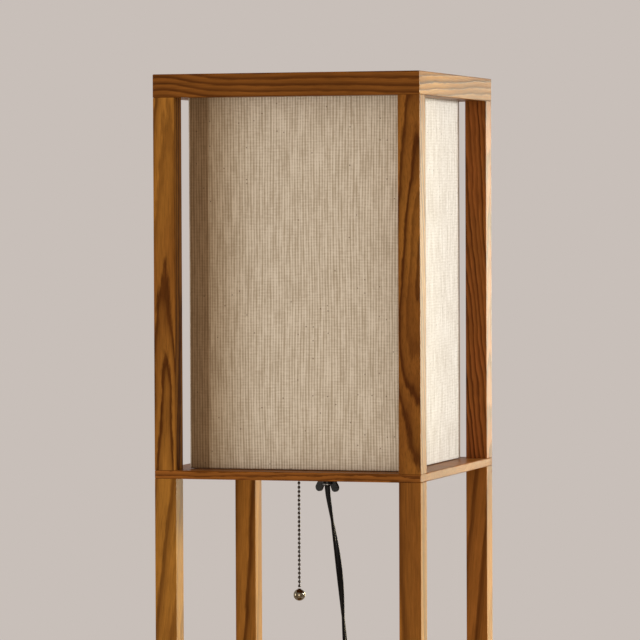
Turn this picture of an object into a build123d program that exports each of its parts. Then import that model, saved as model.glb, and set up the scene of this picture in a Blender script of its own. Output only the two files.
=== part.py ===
"""Shelf floor lamp: a square tower of four wooden posts with three open shelves under
a linen shade box, a pull-chain lamp holder on the lamp board, and a flat twin cord.

Units are millimetres, +Z is up, and the origin is on the floor at the centre of the
footprint. The front face looks along -Y. Suffixes: _r is a radius, _z is a height.
"""
from build123d import *
import math
import os

os.makedirs("parts", exist_ok=True)

# ---- driving sizes: the wooden tower -------------------------------------------
plan_side = 260.0          # over the posts, both ways
post_side = 21.0           # square section of every post
board_thickness = 8.0      # lamp board and shelves
foot_length = 54.0         # wooden foot block under the lowest shelf
pad_thickness = 2.0
pad_r = 8.5
lower_bay = 380.0          # clear height of each open bay
middle_bay = 380.0
upper_bay = 380.0
shade_bay = 350.0
cap_height = 22.0          # mitred rails round the open top
cap_width = 21.0
arris = 0.6                # eased edge of posts, boards and rails

# ---- joinery --------------------------------------------------------------------
stud_r = 3.0               # steel stud through each board corner
stud_depth = 20.0          # into the post below
stud_reach = 11.0          # into the insert above
insert_r = 4.5
insert_length = 12.0
dowel_r = 4.0              # wooden dowel through each mitre of the cap
dowel_in_cap = 15.0
dowel_in_post = 16.0
glue_gap = 0.05            # radial play of studs, dowels, inserts and pins
hole_slack = 0.4           # radial play of a stud in its board

# ---- shade ----------------------------------------------------------------------
shade_play = 5.0           # from the shade to the posts and the cap round it
shade_wall = 1.2
shade_corner_r = 3.0
shade_in_cap = 12.0        # how far the shade stands up inside the cap
soft_gap = 0.3             # soft pieces stay this clear of what carries them
ring_wire_r = 1.5
ring_corner_r = 4.0
ring_inset = 3.0           # from the shade's edge to the middle of the wire

# ---- lamp holder ----------------------------------------------------------------
nipple_r = 4.8
nipple_bore_r = 3.5
nipple_below = 12.0        # hangs below the lamp board
nipple_above = 9.0
washer_r = 9.0
washer_thickness = 1.5
nut_hub_r = 7.0
nut_height = 10.0
nut_taper = 4.0            # degrees
nut_turn = -20.0           # degrees, where the wings stopped when it was tightened
wing_thickness = 2.4
wing_root_r = 3.2
wing_root_out = 5.0        # middle of the wing's root from the axis
wing_root_drop = 6.5       # and below the board
wing_lobe_r = 4.0
wing_lobe_out = 9.5
wing_lobe_drop = 15.0
thread_play = 0.06
bushing_flange_r = 4.6
bushing_flange = 1.2
bushing_depth = 8.0
cup_r = 18.5               # lower cup of the holder
cup_height = 19.0
cup_shoulder = 10.0
cup_hub_r = 8.0
cup_hub_height = 4.0
cup_wall = 0.8
shell_r = 17.5             # outer shell of the holder
shell_wall = 0.5
shell_foot = 11.0          # height of its lower edge above the board
shell_head = 62.0
liner_wall = 0.8
liner_stand = 1.0          # stands proud of the shell
slip = 0.1                 # radial play of one sleeve in the next
switch_foot = 13.0         # switch block, heights above the board
switch_head = 33.0
switch_gap = 0.3
pulley_axis_x = -4.0
pull_radius = 5.73         # 9 mm of chain turns the pulley a quarter turn
pulley_flange_r = 5.9
pulley_groove_r = 4.1
pulley_width = 4.0
chamber_gap = 0.7          # round the pulley
pin_r = 1.0
pin_inset = 0.3            # the pin ends short of the switch block's side
spring_wire_r = 0.3
spring_r = 2.2
spring_pitch = 0.85
spring_turns = 4
arm_r = 3.0                # arm that carries the chain out of the holder
arm_bore_r = 1.9
arm_inner_x = -11.0
arm_height = 27.7          # its axis above the board
arm_slot_gap = 0.5
bell_r = 5.5
bell_mouth_r = 4.6
bell_height = 6.0
bell_drop = 15.7           # bell mouth below the arm's axis
terminal_x = 6.0
terminal_height = 22.0
terminal_head_r = 2.2
terminal_head = 1.4
terminal_shank_r = 1.4
terminal_shank = 4.4
terminal_seat = 11.8       # from the holder's axis
terminal_room = 0.6        # round the screw's head
lead_r = 0.9
lead_bend_r = 2.0
lead_room = 0.5            # between a lead and the floor of its channel
screw_shell_bore_r = 13.3
screw_shell_wall = 0.6
screw_shell_height = 26.0
screw_shell_eye_r = 6.0
contact_wide = 5.0
contact_thick = 0.5
contact_rise = 4.5
contact_half = 4.5

# ---- lamp, heights above its contact ----------------------------------------------
bulb_play = 0.3
bulb_button_r = 4.5
bulb_button = 1.5
bulb_thread_r = 12.95
bulb_thread_foot = 4.0
bulb_thread_depth = 0.8
bulb_thread_pitch = 3.6
bulb_threads = 5
bulb_skirt_r = 13.4
bulb_skirt_foot = 26.5
bulb_globe_foot = 64.0
bulb_globe_r = 30.0
bulb_globe_centre = 78.0
bulb_wall = 1.4

# ---- pull chain -------------------------------------------------------------------
chain_x = -28.7
bead_r = 1.6
bead_pitch = 4.15
chain_wire_r = 0.5
chain_hole_r = 3.5         # in the lamp board
pivot_drop = 3.0           # the bead it swings on, below the board
hanging_bead_count = 26
guided_bead_count = 8           # from the pivot up into the arm
link_gap = 0.2
ball_r = 5.75
ball_drop = 119.5          # centre below the board
ball_bore_depth = 3.0
chain_end_inset = 0.4      # the chain's end stops short of that bore's end

# ---- cord ---------------------------------------------------------------------------
cord_r = 3.0               # half the width of the flat twin cord
lead_core_r = 2.9
corner_share = 0.45        # of the shorter run, taken up by the arc at a corner
coil_r = 41.1              # outermost turn
coil_pitch = 6.5           # turn to turn, and layer to layer
coil_half_turns_in = 5
coil_half_turns_out = 4
coil_straight = 6.0
tie_wide = 8.0
tie_thickness = 0.8
tie_corner_r = 2.0
plug_relief = 20.0         # tapered sleeve where the cord enters the plug
plug_relief_r = 3.3
plug_neck = 10.0
plug_body_length = 16.0
plug_waist = (12.0, 9.0)
plug_shoulder = (23.0, 13.0)
plug_front = (25.0, 14.0)
plug_corner_r = 4.0
blade_length = 17.0
blade_wide = 6.35
blade_thick = 1.5
blade_spacing = 12.7
blade_root = 4.0           # moulded into the plug

# ---- heights and places that follow -------------------------------------------------
foot_top = pad_thickness + foot_length
lower_shelf_top = foot_top + board_thickness
lower_bay_top = lower_shelf_top + lower_bay
middle_shelf_top = lower_bay_top + board_thickness
middle_bay_top = middle_shelf_top + middle_bay
upper_shelf_top = middle_bay_top + board_thickness
board_under = upper_shelf_top + upper_bay
board_top = board_under + board_thickness
cap_under = board_top + shade_bay
post_place = (plan_side - post_side) / 2
shade_side = plan_side - 2 * (max(cap_width, post_side) + shade_play)
corners = {
    "front_left": (-post_place, -post_place),
    "front_right": (post_place, -post_place),
    "back_left": (-post_place, post_place),
    "back_right": (post_place, post_place),
}
nipple_foot = board_under - nipple_below
cord_exit_z = nipple_foot - bushing_flange
arm_z = board_top + arm_height
pulley_z = arm_z - pull_radius
switch_top = board_top + switch_head
liner_r = shell_r - shell_wall - slip
switch_r = liner_r - liner_wall - switch_gap
contact_top = switch_top + contact_thick + contact_rise
bulb_foot = contact_top + bulb_play
chain_pivot_z = board_under - pivot_drop
ball_z = board_under - ball_drop


def save(builder, name):
    """Labels a finished piece and writes it as its own STEP file."""
    builder.part.label = name
    export_step(builder.part, f"parts/{name}.step")


def upright(x):
    """The plane Y = 0 measured from x: local x is the radius, local y the height."""
    return Plane(origin=(x, 0, 0), x_dir=(1, 0, 0), z_dir=(0, -1, 0))


def make_turned(name, outline):
    """A piece turned about the lamp's centre line from a closed (radius, height) outline."""
    with BuildPart() as piece:
        with BuildSketch(upright(0)):
            with BuildLine():
                Polyline(*outline, close=True)
            make_face()
        revolve(axis=Axis.Z)
    save(piece, name)


# ---- posts, feet and pads -------------------------------------------------------------
def make_post(name, place, foot, head, head_r, head_depth):
    """A square post with an insert hole in its foot and a stud or dowel hole on top."""
    with BuildPart() as post:
        with BuildSketch(Plane.XY.offset(foot)):
            with Locations(place):
                Rectangle(post_side, post_side)
        extrude(amount=head - foot)
        fillet(post.edges().filter_by(Axis.Z), arris)
        with Locations(Plane((*place, head))):
            Hole(head_r, head_depth)
        with Locations(Plane((*place, foot), z_dir=(0, 0, -1))):
            Hole(insert_r, insert_length)
    save(post, name)


post_levels = [
    ("lower", lower_shelf_top, lower_bay_top),
    ("middle", middle_shelf_top, middle_bay_top),
    ("upper", upper_shelf_top, board_under),
]
for level, foot, head in post_levels:
    for corner, place in corners.items():
        make_post(f"{level}_post_{corner}", place, foot, head, stud_r, stud_depth)
for corner, place in corners.items():
    make_post(f"shade_post_{corner}", place, board_top, cap_under, dowel_r, dowel_in_post)

with BuildPart() as foot_blocks:
    with BuildSketch(Plane.XY.offset(pad_thickness)):
        with Locations(*corners.values()):
            Rectangle(post_side, post_side)
    extrude(amount=foot_length)
    fillet(foot_blocks.edges().filter_by(Axis.Z), arris)
    with Locations(*[Plane((*place, foot_top)) for place in corners.values()]):
        Hole(stud_r, stud_depth)
save(foot_blocks, "foot_blocks")

with BuildPart() as foot_pads:
    with BuildSketch(Plane.XY):
        with Locations(*corners.values()):
            Circle(pad_r)
    extrude(amount=pad_thickness)
save(foot_pads, "foot_pads")


# ---- boards --------------------------------------------------------------------------
def make_board(name, under, holes):
    """A square board with stud holes at its corners and any further (x, y, r) holes."""
    with BuildPart() as board:
        with BuildSketch(Plane.XY.offset(under)):
            Rectangle(plan_side, plan_side)
            with Locations(*corners.values()):
                Circle(stud_r + hole_slack, mode=Mode.SUBTRACT)
            for x, y, hole_r in holes:
                with Locations((x, y)):
                    Circle(hole_r, mode=Mode.SUBTRACT)
        extrude(amount=board_thickness)
        chamfer(board.edges().filter_by(GeomType.LINE), arris)
    save(board, name)


make_board("lower_shelf", foot_top, [])
make_board("middle_shelf", lower_bay_top, [])
make_board("upper_shelf", middle_bay_top, [])
lamp_board_holes = [(0, 0, nipple_r + hole_slack), (chain_x, 0, chain_hole_r)]
make_board("lamp_board", board_under, lamp_board_holes)

# ---- studs and inserts at every board corner -----------------------------------------
board_levels = [foot_top, lower_bay_top, middle_bay_top, board_under]

with BuildPart() as joint_studs:
    for under in board_levels:
        with BuildSketch(Plane.XY.offset(under - stud_depth)):
            with Locations(*corners.values()):
                Circle(stud_r - glue_gap)
        extrude(amount=stud_depth + board_thickness + stud_reach)
save(joint_studs, "joint_studs")

with BuildPart() as thread_inserts:
    for under in board_levels:
        with BuildSketch(Plane.XY.offset(under + board_thickness)):
            with Locations(*corners.values()):
                Circle(insert_r - glue_gap)
                Circle(stud_r, mode=Mode.SUBTRACT)
        extrude(amount=insert_length)
save(thread_inserts, "thread_inserts")

# ---- cap: four mitred rails and the dowels through their mitres ----------------------
half_plan = plan_side / 2
half_open = half_plan - cap_width
for side, turn in (("front", 0), ("right", 90), ("back", 180), ("left", 270)):
    along = Vector(1, 0, 0).rotate(Axis.Z, turn)
    rail_plane = Plane((0, 0, cap_under), x_dir=along, z_dir=(0, 0, 1))
    with BuildPart() as rail:
        with BuildSketch(rail_plane):
            with BuildLine():
                Polyline(
                    (-half_plan, -half_plan),
                    (half_plan, -half_plan),
                    (half_open, -half_open),
                    (-half_open, -half_open),
                    close=True,
                )
            make_face()
        extrude(amount=cap_height)
        chamfer(rail.edges().filter_by(Axis((0, 0, 0), along)), arris)
        with BuildSketch(rail_plane):
            with Locations((-post_place, -post_place), (post_place, -post_place)):
                Circle(dowel_r)
        extrude(amount=dowel_in_cap, mode=Mode.SUBTRACT)
    save(rail, f"cap_rail_{side}")

with BuildPart() as cap_dowels:
    with BuildSketch(Plane.XY.offset(cap_under - dowel_in_post)):
        with Locations(*corners.values()):
            Circle(dowel_r - glue_gap)
    extrude(amount=dowel_in_post + dowel_in_cap)
save(cap_dowels, "cap_dowels")

# ---- shade: a linen box on two wire rings, open at top and bottom --------------------
shade_foot = board_top + soft_gap
shade_head = cap_under + shade_in_cap
shade_bore = shade_side - 2 * shade_wall
with BuildPart() as shade_fabric:
    with BuildSketch(Plane.XY.offset(shade_foot)):
        RectangleRounded(shade_side, shade_side, shade_corner_r)
        RectangleRounded(
            shade_bore, shade_bore, shade_corner_r - shade_wall, mode=Mode.SUBTRACT
        )
    extrude(amount=shade_head - shade_foot)
save(shade_fabric, "shade_fabric")

ring_half = shade_bore / 2 - slip - ring_wire_r
with BuildPart() as shade_rings:
    for ring_z in (shade_foot + ring_inset, shade_head - ring_inset):
        with BuildLine(Plane.XY.offset(ring_z)) as ring_line:
            FilletPolyline(
                (-ring_half, -ring_half),
                (ring_half, -ring_half),
                (ring_half, ring_half),
                (-ring_half, ring_half),
                radius=ring_corner_r,
                close=True,
            )
        ring_wire = ring_line.wire()
        with BuildSketch(Plane(origin=ring_wire @ 0, z_dir=ring_wire % 0)):
            Circle(ring_wire_r)
        sweep(path=ring_wire)
save(shade_rings, "shade_rings")

# ---- nipple, washer, wing nut and bushing under the lamp board -----------------------
make_turned("lamp_nipple", [
    (nipple_bore_r, nipple_foot),
    (nipple_r, nipple_foot),
    (nipple_r, board_top + nipple_above),
    (nipple_bore_r, board_top + nipple_above),
])

washer_foot = board_under - washer_thickness
make_turned("lamp_washer", [
    (nipple_r + thread_play, washer_foot),
    (washer_r, washer_foot),
    (washer_r, board_under),
    (nipple_r + thread_play, board_under),
])

nut_plane = Plane.XY.rotated((0, 0, nut_turn))
wing_plane = Plane(
    origin=(0, 0, board_under), x_dir=nut_plane.x_dir, z_dir=-nut_plane.y_dir
)
with BuildPart() as wing_nut:
    with BuildSketch(nut_plane.offset(washer_foot - thread_play)):
        Circle(nut_hub_r)
    extrude(amount=-nut_height, taper=nut_taper)
    for side in (-1, 1):
        with BuildSketch(wing_plane):
            with Locations((side * wing_root_out, -wing_root_drop)):
                Circle(wing_root_r)
            with Locations((side * wing_lobe_out, -wing_lobe_drop)):
                Circle(wing_lobe_r)
            make_hull()
        extrude(amount=wing_thickness / 2, both=True)
    with BuildSketch(nut_plane.offset(board_under)):
        Circle(nipple_r + thread_play)
    extrude(amount=-wing_lobe_drop - wing_lobe_r, mode=Mode.SUBTRACT)
save(wing_nut, "wing_nut")

make_turned("cord_bushing", [
    (cord_r, cord_exit_z),
    (bushing_flange_r, cord_exit_z),
    (bushing_flange_r, nipple_foot),
    (nipple_bore_r - glue_gap, nipple_foot),
    (nipple_bore_r - glue_gap, nipple_foot + bushing_depth),
    (cord_r, nipple_foot + bushing_depth),
])

# ---- lamp holder: cup, shell, liner and switch block ---------------------------------
make_turned("socket_cap", [
    (nipple_r + thread_play, board_top),
    (cup_hub_r, board_top),
    (cup_hub_r, board_top + cup_hub_height - cup_wall),
    (cup_r, board_top + cup_shoulder),
    (cup_r, board_top + cup_height),
    (cup_r - cup_wall, board_top + cup_height),
    (cup_r - cup_wall, board_top + cup_shoulder + cup_wall / 2),
    (cup_hub_r - cup_wall, board_top + cup_hub_height),
    (nipple_r + thread_play, board_top + cup_hub_height),
])


def make_sleeve(name, outer_r, wall, foot, head):
    """A thin sleeve with a slot, open downwards, for the chain arm on its -X side."""
    slot_half = arm_r + arm_slot_gap
    with BuildPart() as sleeve:
        with BuildSketch(Plane.XY.offset(foot)):
            Circle(outer_r)
            Circle(outer_r - wall, mode=Mode.SUBTRACT)
        extrude(amount=head - foot)
        with BuildSketch(Plane.YZ):
            with Locations((0, (foot + arm_z) / 2)):
                Rectangle(2 * slot_half, arm_z - foot)
            with Locations((0, arm_z)):
                Circle(slot_half)
        extrude(amount=-2 * outer_r, mode=Mode.SUBTRACT)
    save(sleeve, name)


shell_foot_z = board_top + shell_foot
shell_head_z = board_top + shell_head
make_sleeve("socket_shell", shell_r, shell_wall, shell_foot_z, shell_head_z)
make_sleeve("socket_liner", liner_r, liner_wall, shell_foot_z, shell_head_z + liner_stand)

switch_foot_z = board_top + switch_foot
terminal_z = board_top + terminal_height
terminal_recess = terminal_head_r + terminal_room
chamber_r = pulley_flange_r + chamber_gap
chamber_y = pulley_width / 2 + chamber_gap
spring_length = spring_turns * spring_pitch
spring_room = spring_length + 2 * spring_wire_r
with BuildPart() as switch_body:
    with BuildSketch(Plane.XY.offset(switch_foot_z)):
        Circle(switch_r)
    extrude(amount=switch_head - switch_foot)
    with BuildSketch(Plane.XZ.offset(chamber_y)):
        with Locations((pulley_axis_x, pulley_z)):
            Circle(chamber_r)
        with Locations(((pulley_axis_x + arm_inner_x) / 2, arm_z)):
            Rectangle(pulley_axis_x - arm_inner_x, 2 * arm_bore_r)
    extrude(amount=-2 * chamber_y - spring_room, mode=Mode.SUBTRACT)
    with BuildSketch(Plane.XZ):
        with Locations((pulley_axis_x, pulley_z)):
            Circle(pin_r + glue_gap)
    extrude(amount=switch_r, both=True, mode=Mode.SUBTRACT)
    with BuildSketch(Plane.YZ.offset(arm_inner_x)):
        with Locations((0, arm_z)):
            Circle(arm_r + slip)
    extrude(amount=-switch_r, mode=Mode.SUBTRACT)
    for side in (-1, 1):
        with BuildSketch(Plane.XZ.offset(-side * terminal_seat)):
            with Locations((terminal_x, (switch_foot_z + terminal_z) / 2)):
                Rectangle(2 * terminal_recess, terminal_z - switch_foot_z)
            with Locations((terminal_x, terminal_z)):
                Circle(terminal_recess)
        extrude(amount=-side * switch_r, mode=Mode.SUBTRACT)
        with BuildSketch(Plane.XZ.offset(-side * terminal_seat)):
            with Locations((terminal_x, terminal_z)):
                Circle(terminal_shank_r + glue_gap)
        extrude(amount=side * (terminal_shank + glue_gap), mode=Mode.SUBTRACT)
save(switch_body, "switch_body")

with BuildPart() as terminal_screws:
    for side in (-1, 1):
        with BuildSketch(Plane.XZ.offset(-side * terminal_seat)):
            with Locations((terminal_x, terminal_z)):
                Circle(terminal_head_r)
        extrude(amount=-side * terminal_head)
        with BuildSketch(Plane.XZ.offset(-side * terminal_seat)):
            with Locations((terminal_x, terminal_z)):
                Circle(terminal_shank_r)
        extrude(amount=side * terminal_shank)
save(terminal_screws, "terminal_screws")

# ---- chain pulley with its pin and return spring -------------------------------------
pulley_half = pulley_width / 2
with BuildPart() as switch_pulley:
    with BuildSketch(Plane((pulley_axis_x, 0, pulley_z), x_dir=(0, 1, 0), z_dir=(1, 0, 0))):
        with BuildLine():
            Polyline(
                (-pulley_half, pin_r + glue_gap),
                (pulley_half, pin_r + glue_gap),
                (pulley_half, pulley_flange_r),
                (0, pulley_groove_r),
                (-pulley_half, pulley_flange_r),
                close=True,
            )
        make_face()
    revolve(axis=Axis((pulley_axis_x, 0, pulley_z), (0, 1, 0)))
save(switch_pulley, "switch_pulley")

with BuildPart() as pulley_pin:
    with BuildSketch(Plane.XZ):
        with Locations((pulley_axis_x, pulley_z)):
            Circle(pin_r)
    extrude(amount=math.sqrt(switch_r**2 - pulley_axis_x**2) - pin_inset, both=True)
save(pulley_pin, "pulley_pin")

with BuildPart() as pulley_spring:
    spring_foot = (pulley_axis_x, pulley_half + soft_gap + spring_wire_r, pulley_z)
    with BuildLine() as spring_line:
        Helix(spring_pitch, spring_length, spring_r, center=spring_foot, direction=(0, 1, 0))
    spring_wire = spring_line.wire()
    with BuildSketch(Plane(origin=spring_wire @ 0, z_dir=spring_wire % 0)):
        Circle(spring_wire_r)
    sweep(path=spring_wire, is_frenet=True)
save(pulley_spring, "pulley_spring")

# ---- chain arm with its bell mouth over the board's chain hole -----------------------
bell_mouth_z = arm_z - bell_drop
bell_throat_z = bell_mouth_z + bell_height
with BuildPart() as chain_arm:
    for tube_r, mouth_r, mode in (
        (arm_r, bell_r, Mode.ADD),
        (arm_bore_r, bell_mouth_r, Mode.SUBTRACT),
    ):
        with BuildSketch(Plane.YZ.offset(arm_inner_x)):
            with Locations((0, arm_z)):
                Circle(tube_r)
        extrude(amount=chain_x - arm_inner_x, mode=mode)
        with Locations((chain_x, 0, arm_z)):
            Sphere(tube_r, mode=mode)
        with BuildSketch(upright(chain_x)):
            with BuildLine():
                Polyline(
                    (0, arm_z),
                    (tube_r, arm_z),
                    (tube_r, bell_throat_z),
                    (mouth_r, bell_mouth_z),
                    (0, bell_mouth_z),
                    close=True,
                )
            make_face()
        revolve(axis=Axis((chain_x, 0, 0), (0, 0, 1)), mode=mode)
save(chain_arm, "chain_arm")

# ---- screw shell, centre contact and the leads to the terminals ----------------------
screw_shell_r = screw_shell_bore_r + screw_shell_wall
make_turned("screw_shell", [
    (screw_shell_eye_r, switch_top),
    (screw_shell_r, switch_top),
    (screw_shell_r, switch_top + screw_shell_height),
    (screw_shell_bore_r, switch_top + screw_shell_height),
    (screw_shell_bore_r, switch_top + screw_shell_wall),
    (screw_shell_eye_r, switch_top + screw_shell_wall),
])

with BuildPart() as centre_contact:
    with BuildSketch(upright(0)):
        with BuildLine():
            Polyline(
                (-contact_half, switch_top),
                (0, switch_top),
                (contact_half, contact_top - contact_thick),
                (contact_half, contact_top),
                (0, switch_top + contact_thick),
                (-contact_half, switch_top + contact_thick),
                close=True,
            )
        make_face()
    extrude(amount=contact_wide / 2, both=True)
save(centre_contact, "centre_contact")

lead_turn_z = switch_foot_z - lead_r - slip
lead_core_top = lead_turn_z - lead_r
lead_out = terminal_seat + lead_r + lead_room
with BuildPart() as cord_leads:
    with BuildSketch(Plane.XY.offset(cord_exit_z)):
        Circle(lead_core_r)
    extrude(amount=lead_core_top - cord_exit_z)
    for side in (-1, 1):
        lead_root = (0, side * lead_core_r / 2)
        with BuildLine() as lead_line:
            FilletPolyline(
                (*lead_root, lead_core_top - lead_core_r),
                (*lead_root, lead_turn_z),
                (terminal_x, side * lead_out, lead_turn_z),
                (terminal_x, side * lead_out, terminal_z - terminal_head_r - slip),
                radius=lead_bend_r,
            )
        with BuildSketch(Plane((*lead_root, lead_core_top - lead_core_r))):
            Circle(lead_r)
        sweep(path=lead_line.wire())
save(cord_leads, "cord_leads")

# ---- lamp: screw cap, housing and frosted globe --------------------------------------
thread_root_r = bulb_thread_r - bulb_thread_depth
thread_foot = bulb_foot + bulb_thread_foot
thread_outline = []
for thread in range(bulb_threads):
    thread_outline.append((thread_root_r, thread_foot + thread * bulb_thread_pitch))
    thread_outline.append((bulb_thread_r, thread_foot + (thread + 0.5) * bulb_thread_pitch))
thread_outline.append((thread_root_r, thread_foot + bulb_threads * bulb_thread_pitch))
housing_foot = bulb_foot + bulb_skirt_foot
make_turned("bulb_screw_cap", [
    (0, bulb_foot),
    (bulb_button_r, bulb_foot),
    (bulb_button_r, bulb_foot + bulb_button),
    *thread_outline,
    (thread_root_r, housing_foot),
    (0, housing_foot),
])

globe_foot = bulb_foot + bulb_globe_foot
globe_z = bulb_foot + bulb_globe_centre
globe_bore_r = bulb_globe_r - bulb_wall
globe_rise = globe_z - globe_foot
rim_r = math.sqrt(bulb_globe_r**2 - globe_rise**2)
rim_bore_r = math.sqrt(globe_bore_r**2 - globe_rise**2)
with BuildPart() as bulb_globe:
    with BuildSketch(upright(0)):
        with BuildLine():
            outer_top = (0, globe_z + bulb_globe_r)
            inner_top = (0, globe_z + globe_bore_r)
            ThreePointArc((rim_r, globe_foot), (bulb_globe_r, globe_z), outer_top)
            Line(outer_top, inner_top)
            ThreePointArc(inner_top, (globe_bore_r, globe_z), (rim_bore_r, globe_foot))
            Line((rim_bore_r, globe_foot), (rim_r, globe_foot))
        make_face()
    revolve(axis=Axis.Z)
save(bulb_globe, "bulb_globe")

with BuildPart() as bulb_housing:
    with BuildSketch(upright(0)):
        with BuildLine():
            skirt = (bulb_skirt_r, housing_foot)
            rim = (rim_r, globe_foot)
            Line((0, housing_foot), skirt)
            TangentArc(skirt, rim, tangent=(0, 1))
            Line(rim, (0, globe_foot))
            Line((0, globe_foot), (0, housing_foot))
        make_face()
    revolve(axis=Axis.Z)
save(bulb_housing, "bulb_housing")

# ---- pull chain: guided beads, the bead it swings on, hanging beads and ball ---------
bead_waist = math.sqrt(bead_r**2 - chain_wire_r**2)


def make_chain(name, head, first_bead, beads, foot):
    """A length of ball chain, turned as one piece, from its head down to its foot."""
    with BuildPart() as chain:
        with BuildSketch(upright(chain_x)):
            with BuildLine():
                last = (chain_wire_r, head)
                Line((0, head), last)
                for bead in range(beads):
                    bead_z = first_bead - bead * bead_pitch
                    Line(last, (chain_wire_r, bead_z + bead_waist))
                    last = (chain_wire_r, bead_z - bead_waist)
                    ThreePointArc((chain_wire_r, bead_z + bead_waist), (bead_r, bead_z), last)
                Line(last, (chain_wire_r, foot))
                Line((chain_wire_r, foot), (0, foot))
                Line((0, foot), (0, head))
            make_face()
        revolve(axis=Axis((chain_x, 0, 0), (0, 0, 1)))
    save(chain, name)


guided_head = chain_pivot_z + guided_bead_count * bead_pitch
link_reach = bead_r + link_gap
make_chain(
    "pull_chain_upper",
    guided_head + bead_r,
    guided_head,
    guided_bead_count,
    chain_pivot_z + link_reach,
)
with BuildPart() as pull_chain_pivot:
    with Locations((chain_x, 0, chain_pivot_z)):
        Sphere(bead_r)
save(pull_chain_pivot, "pull_chain_pivot")
ball_bore_foot = ball_z + ball_r - ball_bore_depth
make_chain(
    "pull_chain_lower",
    chain_pivot_z - link_reach,
    chain_pivot_z - bead_pitch,
    hanging_bead_count,
    ball_bore_foot + chain_end_inset,
)
with BuildPart() as pull_ball:
    with Locations((chain_x, 0, ball_z)):
        Sphere(ball_r)
    with BuildSketch(Plane.XY.offset(ball_bore_foot)):
        with Locations((chain_x, 0)):
            Circle(chain_wire_r + slip)
    extrude(amount=ball_bore_depth, mode=Mode.SUBTRACT)
save(pull_ball, "pull_ball")


# ---- cord: hangs from the bushing, runs over the upper shelf and down to the floor ---
def corner_radii(points):
    """The arc at each corner, as large as its share of the shorter run allows."""
    radii = []
    for before, here, after in zip(points, points[1:], points[2:]):
        arriving = Vector(here) - Vector(before)
        leaving = Vector(after) - Vector(here)
        shorter = min(arriving.length, leaving.length)
        half_turn = math.radians(arriving.get_angle(leaving)) / 2
        radii.append(corner_share * shorter / math.tan(half_turn))
    return radii


def lay_tube(name, points):
    """A round tube along straight runs with an arc at every corner."""
    radii = corner_radii(points)
    with BuildPart() as tube:
        with BuildLine() as route:
            FilletPolyline(*points, radius=radii)
        with BuildSketch(Plane(origin=points[0], z_dir=Vector(points[1]) - Vector(points[0]))):
            Circle(cord_r)
        sweep(path=route.wire())
    save(tube, name)
    length = route.wire().length
    share = tube.part.volume / (math.pi * cord_r**2 * length)
    print(name, "length", round(length, 1), "volume against section x length", round(share, 5))
    print(name, "radii", [round(radius) for radius in radii])


coil_z = cord_r + tie_thickness + 2 * soft_gap
cord_route = [
    (0, 0, cord_exit_z),
    (0, 0, 1194),
    (0.1, 3.6, 1180),
    (0.3, 11, 1164),
    (0.6, 24, 1137),
    (0.9, 38.5, 1105),
    (1.2, 50, 1069),
    (1.6, 61, 1026),
    (2.2, 76, 978),
    (3.0, 95, 930),
    (4.0, 118, 884),
    (5.0, 141, 843),
    (5.6, 150, 803),
    (6.0, 153, 757),
    (7.2, 153.5, 690),
    (9.8, 153, 618),
    (13.8, 152, 546),
    (18.8, 151, 474),
    (24.2, 150.2, 402),
    (29.2, 149.8, 330),
    (33.4, 150, 258),
    (36.4, 150.4, 188),
    (38.0, 150.7, 122),
    (38.5, 150.5, 74),
    (38.5, 149.5, 44),
    (38.5, 143, 22.5),
    (38.5, 128, 8.5),
    (38.5, 108, 4.8),
    (38.5, 92, coil_z),
    (38.5, 78, coil_z),
]
lay_tube("cord_run", cord_route)

# The coil spirals in on the floor by half turns, climbs one layer and spirals out again.
coil_start = Vector(*cord_route[-1])
turn_step = coil_pitch / 2
with BuildPart() as cord_coil:
    with BuildLine() as winding:
        here = coil_start - Vector(0, coil_straight, 0)
        Line(coil_start, here)
        way = -1
        turn_r = coil_r
        for half in range(coil_half_turns_in):
            there = here + Vector(2 * way * turn_r, 0, 0)
            TangentArc(here, there, tangent=(0, way, 0))
            here = there
            way = -way
            turn_r -= turn_step
        climb_reach = math.sqrt(turn_r**2 + turn_step**2)
        joint = here + Vector(way * turn_r, way * climb_reach, turn_step)
        there = here + Vector(2 * way * turn_r, 0, coil_pitch)
        TangentArc(here, joint, tangent=(0, way, 0))
        TangentArc(joint, there, tangent=(2 * way * turn_r, 0, coil_pitch))
        here = there
        way = -way
        for half in range(coil_half_turns_out):
            turn_r += turn_step
            there = here + Vector(2 * way * turn_r, 0, 0)
            TangentArc(here, there, tangent=(0, way, 0))
            here = there
            way = -way
        coil_end = here + Vector(0, way * coil_straight, 0)
        Line(here, coil_end)
    with BuildSketch(Plane(origin=coil_start, z_dir=(0, -1, 0))):
        Circle(cord_r)
    sweep(path=winding.wire())
save(cord_coil, "cord_coil")


def least_gap(path, spacing):
    """The smallest gap between the turns of a wound tube, measured on points."""
    count = round(path.length / spacing)
    points = [path @ (step / count) for step in range(count + 1)]
    near = math.ceil(4 * cord_r / spacing)
    closest = min(
        (there - here).length
        for index, here in enumerate(points)
        for there in points[index + near:]
    )
    return closest - 2 * cord_r


coil_wire = winding.wire()
coil_share = cord_coil.part.volume / (math.pi * cord_r**2 * coil_wire.length)
print("cord_coil length", round(coil_wire.length, 1), "volume share", round(coil_share, 5))
print("cord_coil least gap", round(least_gap(coil_wire, cord_r / 2), 3), "end", coil_end)

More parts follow.
